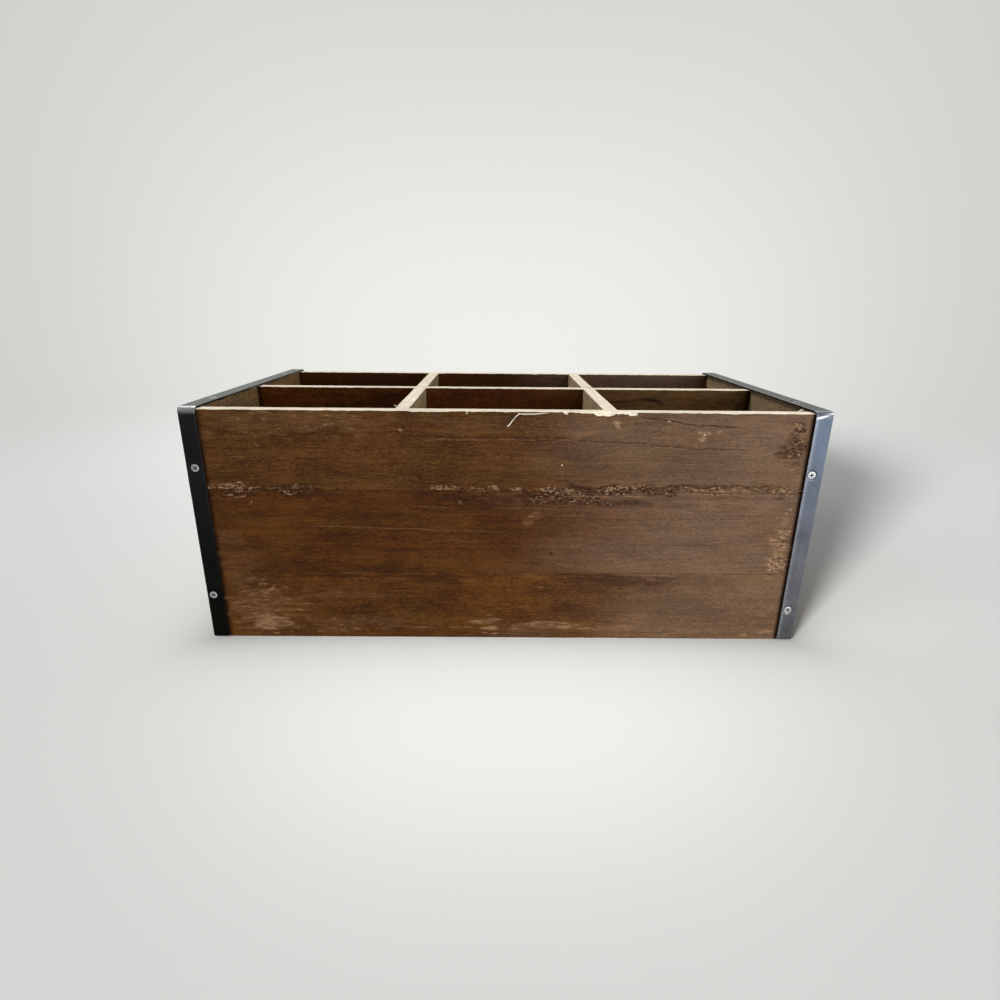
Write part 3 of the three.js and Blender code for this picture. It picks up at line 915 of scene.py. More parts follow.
def board_values(points, facing, low, high, grain, marks, seed, raw_top):
    """How deep each point is pressed in, and the values that the board's material reads."""
    run = "XY".index(grain)
    across = 1 - run
    along = points[:, run]
    down = TOP - points[:, 2]
    side = low[across] + high[across]
    shown = facing[:, across] * (-1.0 if side < 1.0 else 1.0) > FACE_ON

    def everywhere(found, rest=0.0):
        """Values found for the shown points, and the rest's value for all others."""
        full = np.full(len(points), rest)
        full[shown] = found
        return full

    frayed = (noise(points[shown], (8.0, 8.0, 2.4), seed + 9) - 0.5) * 1.2
    values = {
        kind: everywhere(ovals(along[shown], down[shown], marks[kind], frayed=frayed))
        for kind in ("torn", "pitted", "scuffed", "smeared")
    }
    if grain == "X":
        # Painted shade beside and under the bands.
        band_shade = 0.9 * smooth((np.abs(along) - BAND_SHADE) / 1.2) * shown
        values["smeared"] = np.maximum(values["smeared"], band_shade)
    gap, force = nearest_line(along[shown], down[shown], marks["lines"], seed)
    values["line_gap"] = everywhere(gap, NO_LINE)
    values["line_force"] = everywhere(force)
    values["end_grain"] = smooth((np.abs(facing[:, run]) - 0.5) / 0.3)
    bare = everywhere(ovals(along[shown], down[shown], marks["bare"], soft=0.9))
    if raw_top:
        ragged = RAW_EDGE + RAW_WAVE * noise(points, (5.0, 5.0, 50.0), seed + 5)
        ragged += RAW_BITE * smooth((noise(points, (11.0, 11.0, 50.0), seed + 6) - 0.68) * 6.0)
        bare = np.maximum(bare, 1.0 - smooth((down - ragged) / 0.35 + 0.5))
    values["bare"] = bare
    values["inner"] = (facing[:, across] * np.sign(side) < -FACE_ON).astype(float)
    # Painted sheen: its share grows along X towards the right end of the box.
    drift = (noise(points, (60.0, 60.0, 24.0), seed + 8) - 0.5) * SHEEN_DRIFT
    sheen_ramp = smooth((points[:, 0] - SHEEN_START + drift) / SHEEN_LENGTH)
    values["faded"] = sheen_ramp * (0.85 + 0.3 * noise(points, (24.0, 24.0, 9.0), seed + 10))
    spread, short = (((40.0, 6.0), (6.0, 1.4)), ((6.0, 40.0), (1.4, 6.0)))[run]
    depth = noise(points, (*spread, 1.8), seed + 1) * RIDGE_DEPTH
    depth += noise(points, (70.0, 70.0, 30.0), seed + 2) * SWELL_DEPTH
    depth += noise(points, (*short, 1.0), seed + 3) * FIBRE_DEPTH
    crumbs = noise(points, (2.2, 1.6, 1.2), seed + 4)
    depth += values["torn"] * TEAR_DEPTH * smooth((crumbs - 0.3) / 0.5)
    depth += values["pitted"] * PIT_DEPTH * smooth(1.4 * crumbs - 0.5)
    depth += np.abs(values["line_force"]) * LINE_DEPTH * (1.0 - smooth(np.abs(values["line_gap"]) / 0.9))
    depth += bare * noise(points, 1.5, seed + 7) * BARE_DEPTH
    return depth, values


def cut_chips(points, chips, seed):
    """Slants the front top edge back where a chip has come off, and says which points are fresh wood."""
    fresh = np.zeros(len(points))
    for middle, length, drop, inset in chips:
        share = np.abs(points[:, 0] - middle) / (length / 2)
        depth = smooth((1.0 - share) / 0.45)
        ragged = 0.6 * noise(points, (3.6, 50.0, 50.0), seed) + 0.5 * noise(points, (1.3, 50.0, 50.0), seed)
        depth *= 0.4 + ragged
        fall = np.maximum(drop * depth, 1e-6)
        reach = np.maximum(inset * depth, 1e-6)
        inwards = (points[:, 1] - FRONT) / reach
        upwards = (points[:, 2] - (TOP - fall)) / fall
        over = np.where(depth > 0.05, np.maximum(upwards - inwards, 0.0) / 2.0, 0.0)
        over = np.where(inwards < 1.0, over, 0.0)
        points[:, 2] -= over * fall
        points[:, 1] += over * reach
        fresh = np.maximum(fresh, smooth(over * 20.0))
    return fresh


def edge_radius(points, low, high, mean, seed):
    """An uneven radius for a board's edges, and a small even one where two staves meet."""
    radius = mean * (0.55 + 0.9 * noise(points, 14.0, seed + 8))
    joint = np.zeros(len(points))
    for height in (low[2], high[2]):
        if 1.0 < height < TOP - 1.0:
            joint = np.maximum(joint, 1.0 - smooth((np.abs(points[:, 2] - height) - 1.0) / 2.0))
    return radius * (1.0 - joint) + JOINT_RADIUS * joint


def in_hollow(points, hollows):
    """Which points lie in or beside a hollow, where the walls stay straight."""
    inside = np.zeros(len(points), bool)
    for low, high in hollows:
        near = (points > np.array(low) - HOLLOW_RIM) & (points < np.array(high) + HOLLOW_RIM)
        inside |= np.all(near, axis=1)
    return inside


def dent(facing, away, depth):
    """How far each point is pressed in around a brad that it lies so far away from."""
    pressed = depth * (1.0 - smooth((away - BRAD_DENT * 0.75) / (BRAD_DENT * 0.5)))
    return pressed * (np.abs(facing).max(axis=1) > 0.8)


def brad_spots(low, high):
    """Where the brads' heads meet the outer faces of a board, and the axis that each brad lies along."""
    spots = []
    for name in nodes_with("brad"):
        first, last = node_span(name)
        middle = (first + last) / 2
        axis = int(np.argmax(last - first))
        middle[axis] = math.copysign(max(abs(first[axis]), abs(last[axis])), middle[axis])
        if np.all(middle > low - 1.0) and np.all(middle < high + 1.0):
            spots.append((middle, axis))
    return spots


def make_board(node, settings, material, slot, grain="X", cells=(1.6, 2.5, 1.1), marks=NO_MARKS, seed=1,
               raw_top=False, hollows=(), chips=(), filled=(), fine=()):
    """One worn board in the place of its CAD node."""
    low, high = node_span(node)
    spots = brad_spots(low, high)
    places = []
    for axis in range(3):
        narrow = [stretch[1:] for stretch in fine if stretch[0] == axis]
        middles = [spot[axis] for spot, way in spots if axis != way]
        narrow += [(middle - BRAD_REACH, middle + BRAD_REACH, BRAD_STEP) for middle in middles]
        exact = [limit[axis] for pair in hollows for limit in pair if low[axis] < limit[axis] < high[axis]]
        places.append(rows(low[axis], high[axis], cells[axis], narrow, exact))
    points, quads = skin(places, hollows)
    radius = edge_radius(points, low, high, settings.edge_round / MM, seed)
    points, facing = round_off(points, low, high, radius)
    depth, values = board_values(points, facing, low, high, grain, marks, seed, raw_top)
    depth = np.where(in_hollow(points, hollows), 0.0, depth) * settings.relief
    for spot, _ in spots:
        plugged = any(np.linalg.norm(spot - other) < 6.0 for other in filled)
        away = np.linalg.norm(points - spot, axis=1)
        depth = np.maximum(depth, dent(facing, away, FILLED_DEPTH if plugged else BRAD_DEPTH))
        if not plugged:
            values["smeared"] = np.maximum(values["smeared"], 0.9 * (1.0 - smooth((away - 1.3) / 0.8)))
    points = points - facing * depth[:, None]
    if chips:
        values["bare"] = np.maximum(values["bare"], cut_chips(points, chips, seed + 9))
    piece = make_mesh(node + "_worn", points, quads, values)
    return attach(piece, material, slot, node)


def colour(name, description, default):
    """A colour setting, given by its red, green and blue."""
    return FloatVectorProperty(
        name=name, description=description, default=(*default, 1.0), size=4, subtype="COLOR",
        min=0.0, max=1.0,
    )


def setting(name, description, default, **limits):
    """A setting with one value, its limits and its unit."""
    return FloatProperty(name=name, description=description, default=default, **limits)


def distance(name, description, default, low, high):
    """A setting with a length in metres."""
    return setting(name, description, default, min=low, max=high, subtype="DISTANCE", unit="LENGTH")


def light_size(name, description, default):
    """The apparent size of a light, as an angle in radians."""
    return setting(name, description, default, min=0.0, subtype="ANGLE", unit="ROTATION")


class WoodSettings(bpy.types.PropertyGroup):
    """Shape and colours of the boards."""

    edge_round: distance("Edge rounding", "Mean radius of a board's outer edges", 0.00045, 0.0001, 0.002)
    relief: setting("Relief", "Scale of the grain ridges, tears and pits", 1.0, min=0.0, max=2.0)
    seed: IntProperty(name="Seed", description="Picks the pattern of the wear", default=11, min=0)
    dark: colour("Dark stain", "Stain in the dark grain", (0.043, 0.0125, 0.0015))
    light: colour("Light stain", "Stain in the light grain", (0.150, 0.060, 0.0135))
    tint: colour("Olive tint", "Tint of the greener patches of stain", (0.86, 1.0, 0.95))
    bare: colour("Bare wood", "Fresh wood at chips and sawn edges", (0.86, 0.76, 0.60))
    scuff: colour("Scuffs", "Pale rubbed stain", (0.31, 0.178, 0.090))
    # The deep stain also darkens the boards beside the bands, as painted shade.
    deep: colour("Deep stain", "Pits, smears and dark lines", (0.023, 0.0062, 0.0009))
    # Painted sheen: a pale colour over the right end of the box, in place of the light that falls there.
    bloom: colour("Bloom", "Dry pale film over the faded end of the box", (0.235, 0.165, 0.114))
    inner_side: colour("Inner front and divider", "Stain inside the front panel", (0.085, 0.036, 0.011))
    inner_back: colour("Inner back", "Stain inside the back panel", (0.044, 0.0115, 0.0))
    # Painted light and shade: the left end's inner face gets a darker copy of the thin stain, the right end's
    # a lighter one, for how the light falls inside the bays.
    shaded_inner_left: colour("Inner left end", "Thin stain inside the left end", (0.185, 0.108, 0.046))
    lit_inner_right: colour("Inner right end", "Thin stain inside the right end", (0.48, 0.325, 0.175))
    thin_dark: colour("Thin stain, dark", "Dark grain of the cross dividers", (0.17, 0.125, 0.062))
    thin_light: colour("Thin stain, light", "Light grain of the cross dividers", (0.38, 0.29, 0.165))
    # Painted light and shade again: a darker copy for the left cross divider's inner face, a lighter one for
    # the right one's.
    shaded_inner_cross_left: colour(
        "Left cross divider, inner face", "Stain on the face towards the middle", (0.255, 0.19, 0.10),
    )
    lit_inner_cross_right: colour(
        "Right cross divider, inner face", "Stain on the face towards the middle", (0.58, 0.43, 0.24),
    )


class SteelSettings(bpy.types.PropertyGroup):
    """Shape and colours of the bands, screws and brads."""

    dimple: distance("Countersink", "Radius of the countersink around each screw", 0.0033, 0.0028, 0.004)
    # Painted reflection: the bands are one steel, near-black on the left band and blue-grey on the right one
    # for the surroundings that each mirrors, and changing towards the floor.
    left: colour("Left band", "Blackened strip over the left end", (0.020, 0.0195, 0.0225))
    left_foot_reflection: colour("Left band, foot", "Blackened strip near the floor", (0.006, 0.006, 0.0045))
    right: colour("Right band", "Blue-grey strip over the right end", (0.064, 0.080, 0.112))
    right_foot_reflection: colour("Right band, foot", "Greyer strip near the floor", (0.120, 0.120, 0.132))
    # Painted shade on the bands' sides and underside, and a painted dark reflection in the right band's bends;
    # this colour also gives the real dark specks.
    mill: colour("Mill scale", "Dark scale on the sides and underside", (0.0025, 0.0025, 0.0025))
    # Painted reflection: the top of the bands is greyer where the steel mirrors the pale backdrop.
    level: colour("Top of the bands", "Greyer steel that lies over the ends", (0.124, 0.128, 0.116))
    # Rubbed rims, and the colour of the painted highlights and sheen on the bends and inner edges.
    rubbed: colour("Rubbed steel", "Bright steel along edges and bends", (0.70, 0.71, 0.74))
    zinc: colour("Zinc", "Plating of the screws", (0.62, 0.63, 0.64))
    brad: colour("Brad steel", "Steel of the brads", (0.28, 0.26, 0.24))


class StageSettings(bpy.types.PropertyGroup):
    """Lamps, floor and camera."""

    top_lamp: setting("Top lamp", "Power of the lamp overhead", 13.0, unit="POWER")
    side_lamp: setting("Side lamp", "Power of the high right lamp", 4.6, unit="POWER")
    front_lamp: setting("Front lamp", "Power of the low right lamp", 7.0, unit="POWER")
    floor_lamp: setting("Floor lamp", "Power of the lamp over the floor", 1.2, unit="POWER")
    floor_light: setting("Floor light", "Strength of the low light on the floor", 8.6, min=0.0)
    shadow_softness: light_size("Shadow softness", "Apparent size of the low light", 0.22)
    left_light: setting("Left light", "Strength of the higher light on the floor", 0.85, min=0.0)
    left_softness: light_size("Left softness", "Apparent size of the higher light", 0.55)
    air: setting("Ambient", "Strength of the even light all round", 0.3, min=0.0)
    floor: colour("Floor", "Pale floor and backdrop", (0.862, 0.866, 0.838))
    lens: setting("Lens", "Focal length on a 36 mm wide sensor", 21.14, min=10.0, unit="CAMERA")


def make_panel(side, settings, tones, slot, seed, pattern, grain="X", chips=(), **how):
    """Three worn staves, each in its own tones. Only the top one has a raw, chipped upper edge."""
    for number, (height, stain) in enumerate(zip(STAVES, tones)):
        name = f"{side}_{height}_stave"
        material = wood_material(name.replace("_", " ").capitalize(), stain, number + pattern, grain)
        top = height == STAVES[0]
        make_board(
            name, settings, material, slot, grain=grain, seed=seed + number * 40, raw_top=top,
            chips=chips if top else (), **how,
        )


class ORGANIZER_OT_front_panel(bpy.types.Operator):
    """Three worn staves of the front, with every mark that the photo shows"""

    bl_idname = "organizer.front_panel"
    bl_label = "Front panel"
    # How the stain in the grain and the painted sheen over it differ on the top, middle and bottom stave.
    stains = (
        ((1.0, 1.0, 1.0, 1.0), (0.92, 0.92, 0.93, 1.0)),
        ((0.9, 0.76, 0.42, 1.0), (1.1, 1.1, 1.1, 1.0)),
        ((1.08, 0.98, 0.6, 1.0), (1.02, 1.0, 0.98, 1.0)),
    )

    def execute(self, context):
        wood = context.scene.organizer_wood
        filled = []
        for name in nodes_with("brad", "front_brad"):
            middle = sum(node_span(name)) / 2
            filled.append(np.array([middle[0], FRONT, middle[2]]))
        tones = [restained(board_tones(wood, wood.inner_side), *stain) for stain in self.stains]
        make_panel(
            "front", wood, tones, "side_wood", wood.seed, 1, chips=CHIPS, cells=(1.15, 3.0, 0.78),
            marks=FRONT_MARKS, filled=filled, fine=(TEAR_ROWS, CHIP_ROWS),
        )
        return {"FINISHED"}


class ORGANIZER_OT_back_panel(bpy.types.Operator):
    """Three worn staves of the back"""

    bl_idname = "organizer.back_panel"
    bl_label = "Back panel"

    def execute(self, context):
        wood = context.scene.organizer_wood
        start = wood.seed + 300
        marks = chance_marks(start + 1, 200.0, 176.0)
        tones = 3 * [board_tones(wood, wood.inner_back)]
        make_panel(
            "back", wood, tones, "side_wood", start, 5, cells=(1.6, 3.0, 1.0), marks=marks,
            fine=(TOP_ROWS,),
        )
        return {"FINISHED"}


class ORGANIZER_OT_end_panels(bpy.types.Operator):
    """Three worn staves of each end"""

    bl_idname = "organizer.end_panels"
    bl_label = "End panels"

    def execute(self, context):
        wood = context.scene.organizer_wood
        # The inner colours are painted light and shade: darker on the left end, lighter on the right.
        for side, start, inner in (("left", 500, wood.shaded_inner_left), ("right", 700, wood.lit_inner_right)):
            marks = chance_marks(wood.seed + start, 90.0, 176.0)
            make_panel(
                f"{side}_end", wood, 3 * [board_tones(wood, inner)], "end_wood", wood.seed + start,
                start / 50, grain="Y", cells=(3.0, 1.4, 1.05), marks=marks, fine=(TOP_ROWS,),
            )
        return {"FINISHED"}


class ORGANIZER_OT_bottom_board(bpy.types.Operator):
    """The thin bottom board"""

    bl_idname = "organizer.bottom_board"
    bl_label = "Bottom board"

    def execute(self, context):
        wood = context.scene.organizer_wood
        material = wood_material("Bottom board", board_tones(wood, wood.inner_side), 31)
        make_board(
            "bottom_board", wood, material, "bottom_wood", cells=(2.6, 2.6, 2.0), seed=wood.seed + 900,
        )
        return {"FINISHED"}


class ORGANIZER_OT_dividers(bpy.types.Operator):
    """The long divider and the two cross dividers, halved into each other"""

    bl_idname = "organizer.dividers"
    bl_label = "Dividers"
    # Clearance beside a board in its halving, and how far the halving's box reaches past the board.
    room = 0.3
    past = 1.0
    # How the long divider's stain differs from the front panel's.
    stain = ((0.9, 0.6, 0.2, 1.0), (0.62, 0.64, 0.34, 1.0))

    def execute(self, context):
        wood = context.scene.organizer_wood
        low, high = node_span("long_divider")
        half = (low[2] + high[2]) / 2
        room, past = self.room, self.past
        crossings = [node_span(f"cross_divider_{number}") for number in (1, 2)]
        slots = [
            ((first[0] - room, low[1] - past, low[2] - past), (last[0] + room, high[1] + past, half))
            for first, last in crossings
        ]
        tones = board_tones(wood, wood.inner_side)
        material = wood_material("Long divider", restained(tones, *self.stain), 41)
        make_board(
            "long_divider", wood, material, "divider_wood", cells=(1.5, 3.0, 1.5), seed=wood.seed + 1000,
            marks=KNOTTY, raw_top=True, hollows=slots, fine=(DIVIDER_ROWS,),
        )
        thin = {**tones, "Dark": wood.thin_dark[:], "Light": wood.thin_light[:]}
        # Painted light and shade: the inner faces of the two cross dividers get a darker and a lighter copy of
        # the stain.
        inners = (wood.shaded_inner_cross_left, wood.lit_inner_cross_right)
        for number, (inner, (first, last)) in enumerate(zip(inners, crossings), 1):
            slot = ((first[0] - past, low[1] - room, half), (last[0] + past, high[1] + room, high[2] + past))
            pale = {**thin, "Inner": inner[:]}
            material = wood_material(f"Cross divider {number}", pale, 43 + number, "Y", cloud=0.8)
            make_board(
                f"cross_divider_{number}", wood, material, "divider_wood", grain="Y", cells=(3.0, 1.5, 1.5),
                seed=wood.seed + 1100 + number * 40, raw_top=True, hollows=[slot], fine=(DIVIDER_ROWS,),
            )
        return {"FINISHED"}


def sliver(name, spine, widths, thick, material, slot):
    """A splinter: a flat tapering strip along a bent line of points in millimetres."""
    count = 28
    rim = 8
    spine = np.array(spine, float)
    fine = np.linspace(0.0, 1.0, count)
    share = np.linspace(0.0, 1.0, len(spine))
    line = np.stack([np.interp(fine, share, spine[:, axis]) for axis in range(3)], axis=1)
    line[1:-1] = (line[:-2] + 2.0 * line[1:-1] + line[2:]) / 4.0
    width = np.interp(fine, np.linspace(0.0, 1.0, len(widths)), widths)
    run = np.gradient(line, axis=0)
    run /= np.linalg.norm(run, axis=1)[:, None]
    side = np.cross(run, np.array([0.0, 1.0, 0.0]))
    side /= np.maximum(np.linalg.norm(side, axis=1), 1e-6)[:, None]
    out = np.cross(side, run)
    points = []
    for turn in spokes_around(rim):
        lump = 1.0 + 0.25 * (noise(line + turn, 1.1, 71) - 0.5)
        sideways = side * (math.cos(turn) * width / 2 * lump)[:, None]
        points.append(line + sideways + out * math.sin(turn) * thick / 2)
    points = np.stack(points, axis=1).reshape(-1, 3)
    index, after = ring_index(count, rim)
    quads = np.stack([index[:-1], after[:-1], after[1:], index[1:]], axis=-1).reshape(-1, 4)
    cap = np.array([(0, 7, 6, 1), (1, 6, 5, 2), (2, 5, 4, 3)])
    quads = np.concatenate([quads, index[0][cap[:, ::-1]], index[-1][cap]])
    piece = make_mesh(name, points, quads, {"bare": np.ones(len(points))})
    return attach(piece, material, slot)


class ORGANIZER_OT_splinters(bpy.types.Operator):
    """Splinters and burrs that stand off the front and divider edges"""

    bl_idname = "organizer.splinters"
    bl_label = "Splinters"

    def execute(self, context):
        wood = context.scene.organizer_wood
        material = wood_material("Fresh splinter", board_tones(wood, wood.bare), 51)
        proud = FRONT - 0.45
        under = TOP - 1.7
        hanging = [(9.2, proud, TOP - 1.4), (6.4, proud - 0.3, TOP - 3.6), (3.6, proud - 0.5, TOP - 7.2),
                   (1.4, proud - 0.3, TOP - 10.2)]
        knob = [(1.9, proud - 0.3, TOP - 9.6), (1.1, proud - 0.35, TOP - 10.1),
                (0.4, proud - 0.3, TOP - 10.2)]
        lying = [(8.2, proud, under), (14.0, proud - 0.1, under - 0.15), (21.0, proud, under),
                 (28.5, proud + 0.3, TOP - 0.9)]
        burr = [(-79.6, -103.5, TOP + 0.1), (-80.0, -104.5, TOP + 0.9), (-80.4, -105.2, TOP + 1.2)]
        curl = [(208.0, -111.0, TOP + 0.1), (211.0, -108.5, TOP + 0.5), (214.0, -106.0, TOP + 0.2)]
        for name, spine, widths, thick, slot in (
            ("front_hanging_splinter", hanging, (0.9, 0.75, 0.7, 0.85, 0.9), 0.5, "side_wood"),
            ("front_splinter_end", knob, (0.5, 1.1, 1.2, 0.6), 0.7, "side_wood"),
            ("front_edge_sliver", lying, (0.5, 0.9, 0.9, 0.7, 0.3), 0.45, "side_wood"),
            ("left_divider_burr", burr, (1.2, 0.9, 0.4), 0.5, "divider_wood"),
            ("right_end_splinter", curl, (0.4, 1.1, 0.5), 0.5, "end_wood"),
        ):
            sliver(name, spine, widths, thick, material, slot)
        return {"FINISHED"}


def band_path(run, low, high):
    """Places on the band's outer face, the way that it faces there, and where each stretch ends."""
    leg = high[2] - STRIP_BEND - low[2]
    arc = STRIP_BEND * math.pi / 2
    flat = high[1] - low[1] - 2 * STRIP_BEND
    ends = np.cumsum([0.0, leg, arc, flat, arc, leg])
    turned = (np.clip(run - ends[1], 0.0, arc) + np.clip(run - ends[3], 0.0, arc)) / STRIP_BEND
    zero = np.zeros(len(run))
    face = np.stack([zero, -np.cos(turned), np.sin(turned)], axis=1)
    y = low[1] + STRIP_BEND + np.clip(run - ends[2], 0.0, flat)
    z = low[2] + np.clip(run, 0.0, leg) - np.clip(run - ends[4], 0.0, leg)
    return np.stack([zero, y, z], axis=1) + STRIP_BEND * face, face, ends


def screw_distance(side, points):
    """How far each point of a band lies from the axis of the nearest screw on its own leg."""
    near = np.full(len(points), np.inf)
    for name in nodes_with("screw", side):
        first, last = node_span(name)
        middle = (first + last) / 2
        axis = int(np.argmax(last - first))
        across = np.delete(points - middle, axis, axis=1)
        same = points[:, axis] * middle[axis] > 0.0
        near = np.where(same, np.minimum(near, np.linalg.norm(across, axis=1)), near)
    return near


class ORGANIZER_OT_bands(bpy.types.Operator):
    """Two bent steel strips with rubbed edges, painted light and shade, and a countersink at every screw"""

    bl_idname = "organizer.bands"
    bl_label = "Steel bands"
    # Distances of the rows of points across and along the strip, in millimetres.
    cells = (0.7, 0.8)
    # Depths of the strip's waves and of a countersink, and the largest radius of its edges.
    wave_depth = 0.07
    cone_depth = 1.1
    widest_edge = 0.6
    # How brightly the strip is rubbed along its rims, and how bright a painted sheen lies along its inner edge
    # beside the boards.
    rims = {"left": 0.02, "right": 0.1}
    inner_sheen = {"left": 0.0, "right": 0.14}
    # How bright the painted highlight is where the strip starts to bend.
    lower_highlight = {"left": 0.0, "right": 0.95}
    # How wide the painted highlight over the bend is, in millimetres, and how far before the top face it lies.
    upper_highlight = {"left": (1.3, 1.5), "right": (0.8, 1.1)}
    # How much painted sheen lies on the strip between the two lines.
    bend_sheen = {"left": 0.45, "right": 0.06}

    def execute(self, context):
        steel = context.scene.organizer_steel
        shared = {"Rubbed": steel.rubbed[:], "Stain": steel.mill[:], "Level": steel.level[:]}
        # Each band gets its own painted reflection: its base colour and the colour towards its foot.
        for side, base, foot, seed in (
            ("left", steel.left, steel.left_foot_reflection, 3),
            ("right", steel.right, steel.right_foot_reflection, 8),
        ):
            tones = {"Base": base[:], "Foot": foot[:], **shared}
            material = steel_material(f"{side.title()} band steel", tones, 1.0)
            self.strip(side, steel.dimple / MM, material, seed)
        return {"FINISHED"}

    def strip(self, side, dimple, material, seed):
        """One strip: a long thin block with rounded edges, laid along the band's path."""
        low, high = node_span(f"{side}_band")
        ends = band_path(np.zeros(1), low, high)[2]
        width = high[0] - low[0]
        total = ends[-1]
        through = [0.0, *RIM[:2], STRIP_THICK - RIM[1], STRIP_THICK - RIM[0], STRIP_THICK]
        wide, long = self.cells
        points, quads = skin((rows(0.0, width, wide), np.array(through), rows(0.0, total, long)))
        corner = np.minimum(points[:, 0], width - points[:, 0])
        corner += np.minimum(points[:, 2], total - points[:, 2])
        ragged = 0.28 + 0.18 * noise(points, (3.0, 3.0, 9.0), seed) + 0.3 * (1.0 - smooth(corner / 2.5))
        block = np.array([width, STRIP_THICK, total])
        points, facing = round_off(points, np.zeros(3), block, np.minimum(ragged, self.widest_edge))
        outer = facing[:, 1] < -0.5
        spot, face, _ = band_path(points[:, 2], low, high)
        waves = self.wave_depth * noise(points, (30.0, 30.0, 24.0), seed + 1)
        sunk = points[:, 1] + np.where(outer, waves, 0.0)
        shape = spot - face * sunk[:, None]
        shape[:, 0] = low[0] + points[:, 0]
        cone = np.clip(dimple - screw_distance(side, shape), 0.0, self.cone_depth)
        shape -= face * np.where(outer, cone, 0.0)[:, None]
        values = self.wear_and_painted_light(side, points, width, ends, outer, seed + 2)
        piece = make_mesh(f"{side}_band_strip", shape, quads, values)
        attach(piece, material, "band_steel", f"{side}_band")

    def wear_and_painted_light(self, side, points, width, ends, outer, seed):
        """Where the strip is rubbed bright along its rims; where painted highlights and sheen lie on its bends
        and inner edge; where its top is greyer as a painted reflection; where painted shade darkens its sides
        and underside; and how near the floor it is, for the painted reflection that changes down the legs.
        """
        run = points[:, 2]
        ways = (run, ends[-1] - run)
        inwards = points[:, 0] if side == "right" else width - points[:, 0]
        from_top = (ends[1] - np.minimum(*ways)) / ends[1]
        # Painted sheen along the inner edge, beside the boards.
        strip = self.inner_sheen[side] * (1.0 - smooth((inwards - 0.4) / 3.0))
        rim = 1.0 - smooth(np.minimum(inwards, width - inwards) / 0.7)
        worn = np.maximum(self.rims[side] * rim, strip)
        wide, before = self.upper_highlight[side]
        slant = 3.4 * smooth(inwards / width)
        # Painted highlights on each bend, and painted sheen between the two lines.
        for way in ways:
            upper = np.exp(-(((way - ends[2] + before) / wide) ** 2))
            lower = np.exp(-(((way - ends[1] + 1.0 - slant) / 0.5) ** 2)) * self.lower_highlight[side]
            sheen = smooth((way - ends[1] + 2.0) / 4.0) * smooth((ends[2] - way) / 1.0)
            worn = np.maximum.reduce([worn, upper, lower, sheen * self.bend_sheen[side]])
        # Painted shade on the sides and underside; on the right band also a painted dark reflection between
        # the two lines of each bend.
        mill = 1.0 - outer
        if side == "right":
            for way in ways:
                between = smooth((way - ends[1] + 0.2) / 0.8) * smooth((ends[2] - 2.2 - way) / 0.8)
                mill = np.maximum(mill, between * (0.35 + 0.5 * noise(points, (1.4, 9.0, 1.4), seed)))
        # Painted reflection: the top is greyer; low, how near the floor a point lies, gives the painted
        # reflection that changes down the legs.
        level = smooth((run - ends[2]) / 2.0) * smooth((ends[3] - run) / 2.0) * outer
        return {"worn": worn * outer, "level": level, "mill": mill, "low": smooth(from_top) * outer}


def screw_points(length, turn):
    """A countersunk cross-head screw along minus Z, its head's face at 0: points, quads, and the share of
    bright zinc, which paints shade in the cross recess and a highlight towards the head's rim.
    """
    spokes = 72
    angles = spokes_around(spokes)
    # Heights below the head's face: of the rim, of the cone's foot and of the first thread.
    rim, cone_foot, first_thread = 0.16, 1.66, 1.75
    # What the head and the tip take of the length, and how far one turn of the thread climbs.
    ends, pitch = 4.1, 1.3
    # Radii of the deepest part and of the whole cross recess.
    centre_reach, cross_reach = 0.62, 1.72
    face = [*np.linspace(0.08, 1.75, 15), *np.linspace(1.9, HEAD_RADIUS - 0.12, 7)]
    rings = []
    worn = []
    for radius in (*face, HEAD_RADIUS - 0.02, HEAD_RADIUS):
        wing = 0.46 - 0.08 * radius
        cross = radius * np.minimum(np.abs(np.cos(angles - turn)), np.abs(np.sin(angles - turn)))
        deep = np.clip((wing - cross) / 0.14, 0.0, 1.0) * np.clip((cross_reach - radius) / 0.25, 0.0, 1.0)
        centre = np.clip((centre_reach - radius) / 0.2, 0.0, 1.0)
        sunk = np.maximum(deep * (1.15 - 0.32 * radius), centre * 1.15)
        edge = 0.1 * smooth((radius - HEAD_RADIUS + 0.35) / 0.35)
        dome = 0.06 * (radius / HEAD_RADIUS) ** 2
        rings.append(ring(radius, angles, -(sunk + edge + dome)))
        # Painted light: the cross recess gets the dull zinc as painted shade, and the face brightens towards
        # the rim as a painted highlight.
        worn.append(np.where(sunk > 0.15, 0.0, 0.62 + 0.38 * smooth((radius - HEAD_RADIUS + 0.75) / 0.35)))
    neck = np.linspace(HEAD_RADIUS, CORE_RADIUS, 5)[1:]
    for number, radius in enumerate(neck, 1):
        rings.append(ring(radius, angles, -rim - (cone_foot - rim) * number / len(neck)))
    for drop in np.arange(0.0, length - ends, 0.32):
        phase = (drop / pitch - angles / (2 * math.pi)) % 1.0
        thread = 0.42 * (1.0 - np.abs(2 * phase - 1.0)) ** 1.5 * min(1.0, drop / 1.5)
        rings.append(ring(CORE_RADIUS - 0.2 + thread, angles, -first_thread - drop))
    last = rings[-1][0, 2]
    for share in (0.35, 0.7, 0.92):
        rings.append(ring((CORE_RADIUS - 0.15) * (1.0 - share), angles, last - (length + last) * share))
    worn += [np.zeros(spokes)] * (len(rings) - len(worn))
    index, after = ring_index(len(rings), spokes)
    quads = [np.stack([index[:-1], index[1:], after[1:], after[:-1]], axis=-1).reshape(-1, 4)]
    near = np.arange(spokes // 2 - 1)
    far = spokes - 1 - near
    cap = np.stack([near, near + 1, far - 1, far], axis=1)
    quads += [index[0][cap], index[-1][cap[:, ::-1]]]
    return np.concatenate(rings), np.concatenate(quads), np.concatenate(worn)


